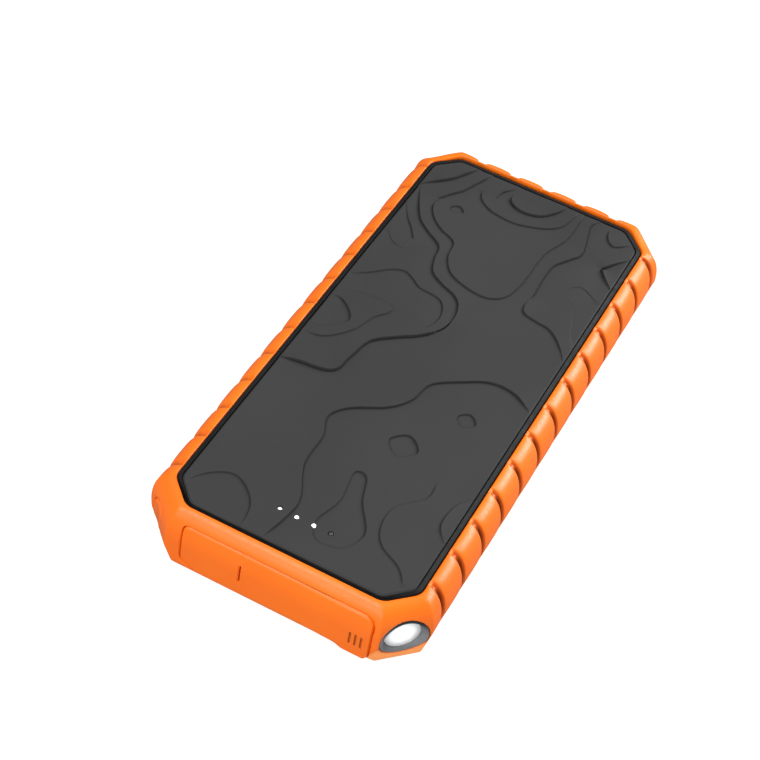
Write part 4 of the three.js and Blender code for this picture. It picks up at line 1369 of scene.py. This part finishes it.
def housing_screws():
    for i in range(1, 5):
        node = f"housing_screw_{i}"
        low, high = box_mm(node)
        x, y = ((low + high) / 2)[:2]
        matrix = Matrix.Translation((x, y, low[2]))
        length = high[2] - low[2]
        profile = [(0.02, 0.0), (1.3, 0.02), (1.7, 0.12), (1.86, 0.35), (1.9, 0.6), (1.9, 1.0),
                   (1.8, 1.1), (0.9, 1.1), (0.9, length - 0.6), (0.02, length)]
        screw = lathe(f"case_screw_{i}", profile, matrix, 48)
        slots = [soft_block("slot", (-1.15, -0.24, -0.5), (1.15, 0.24, 0.7), 0.05,
                            matrix @ Matrix.Rotation(math.radians(turn + 21 * i), 4, "Z"))
                 for turn in (0, 90)]
        carve(screw, *slots, solver="MANIFOLD")
        shade(screw)
        finish(screw, "steel", replaces=(node,))


housing_screws()


# ---- CAD nodes that stay, with softened edges and their finishes ----

def keep_cad_nodes():
    slots = {row["node"]: row["material_slot"] for row in frame["record"]["subparts"]}
    for name, obj in frame["nodes"].items():
        if obj.hide_render:
            continue
        obj.data.materials.clear()
        obj.data.materials.append(MATERIALS[slots[name]])
        bevel = obj.modifiers.new("edge", "BEVEL")
        bevel.width = 0.12 * MM
        bevel.segments = 2
        bevel.limit_method = "ANGLE"
        bevel.angle_limit = math.radians(40)
        shade(obj)


keep_cad_nodes()


# ---- floor, light and camera ----

FLOOR_GLOW = 0.15


def studio_floor():
    """A pale floor that glows for the camera, is dark in reflections and is clear from below."""
    tool = bmesh.new()
    bmesh.ops.create_grid(tool, x_segments=8, y_segments=8, size=6.0)
    floor = from_tool("studio_floor", tool)
    n = Nodes("studio_floor")
    tone = n.blend(n.remap(n.noise(3, 2)), (0.3, 0.3, 0.3), (0.31, 0.31, 0.31))
    ray = n.add("LightPath").outputs
    n.set(Base_Color=n.blend(ray["Is Glossy Ray"], tone, (0.05, 0.05, 0.05)), Roughness=0.8)
    n.set(Emission_Strength=n.remap(ray["Is Camera Ray"], 0.0, 1.0, FLOOR_GLOW, 0.86))
    n.set(Emission_Color=(1.0, 1.0, 1.0), Specular_IOR_Level=0.1)
    below = n.add("NewGeometry").outputs["Backfacing"]
    clear = n.add("BsdfTransparent").outputs["BSDF"]
    sides = n.add("MixShader", {0: below, 1: n.shader.outputs["BSDF"], 2: clear})
    n.feed(n.tree.nodes["Material Output"].inputs["Surface"], sides.outputs["Shader"])
    floor.data.materials.append(n.material)


def towards_viewer(azimuth, elevation):
    """From the object to a viewer in degrees round from the port end, and up."""
    az, el = math.radians(azimuth), math.radians(elevation)
    return Vector((math.sin(az) * math.cos(el), -math.cos(az) * math.cos(el), math.sin(el)))


def area_light(name, azimuth, elevation, distance, size, power):
    """A soft box that looks at the object."""
    light = bpy.data.lights.new(name, "AREA")
    light.shape = "RECTANGLE"
    light.size, light.size_y = size
    light.energy = power
    obj = in_scene(name, light)
    away = towards_viewer(azimuth, elevation)
    obj.location = Vector((0, 0, 0.01)) + away * distance
    obj.rotation_euler = away.to_track_quat("Z", "Y").to_euler()


def studio_light():
    """A dim white room whose reflections are dimmer still, and three soft boxes."""
    world = bpy.data.worlds.new("studio")
    bpy.context.scene.world = world
    world.use_nodes = True
    tree = world.node_tree
    path = tree.nodes.new("ShaderNodeLightPath")
    strength = tree.nodes.new("ShaderNodeMapRange")
    strength.inputs["To Min"].default_value = 0.42
    strength.inputs["To Max"].default_value = 0.14
    tree.links.new(path.outputs["Is Glossy Ray"], strength.inputs["Value"])
    background = tree.nodes["Background"]
    background.inputs["Color"].default_value = (1, 1, 1, 1)
    tree.links.new(strength.outputs["Result"], background.inputs["Strength"])
    area_light("overhead", -38, 66, 0.8, (0.5, 0.42), 4.0)
    area_light("back_right", 140, 28, 0.8, (0.46, 0.4), 7.5)
    area_light("front_fill", 2, 30, 1.2, (0.8, 0.6), 6.4)


CAMERA_AIM = (-6.6, -16.1, 22.2)
CAMERA_AZIMUTH = 19.23
CAMERA_ELEVATION = 45.79
CAMERA_ROLL = 10.8
CAMERA_DISTANCE = 538.0
CAMERA_LENS = 93.82


def camera():
    data = bpy.data.cameras.new("camera")
    data.lens = CAMERA_LENS
    data.sensor_width = 36.0
    data.clip_start = 0.01
    away = towards_viewer(CAMERA_AZIMUTH, CAMERA_ELEVATION)
    right = Vector((math.cos(math.radians(CAMERA_AZIMUTH)), math.sin(math.radians(CAMERA_AZIMUTH)), 0))
    up = away.cross(right)
    roll = math.radians(CAMERA_ROLL)
    turned_right = right * math.cos(roll) + up * math.sin(roll)
    turned_up = up * math.cos(roll) - right * math.sin(roll)
    matrix = Matrix((turned_right, turned_up, away)).transposed().to_4x4()
    matrix.translation = (Vector(CAMERA_AIM) + away * CAMERA_DISTANCE) * MM
    obj = in_scene("camera", data)
    obj.matrix_world = matrix
    bpy.context.scene.camera = obj


studio_floor()
studio_light()
camera()
bpy.context.scene.view_settings.view_transform = "Standard"
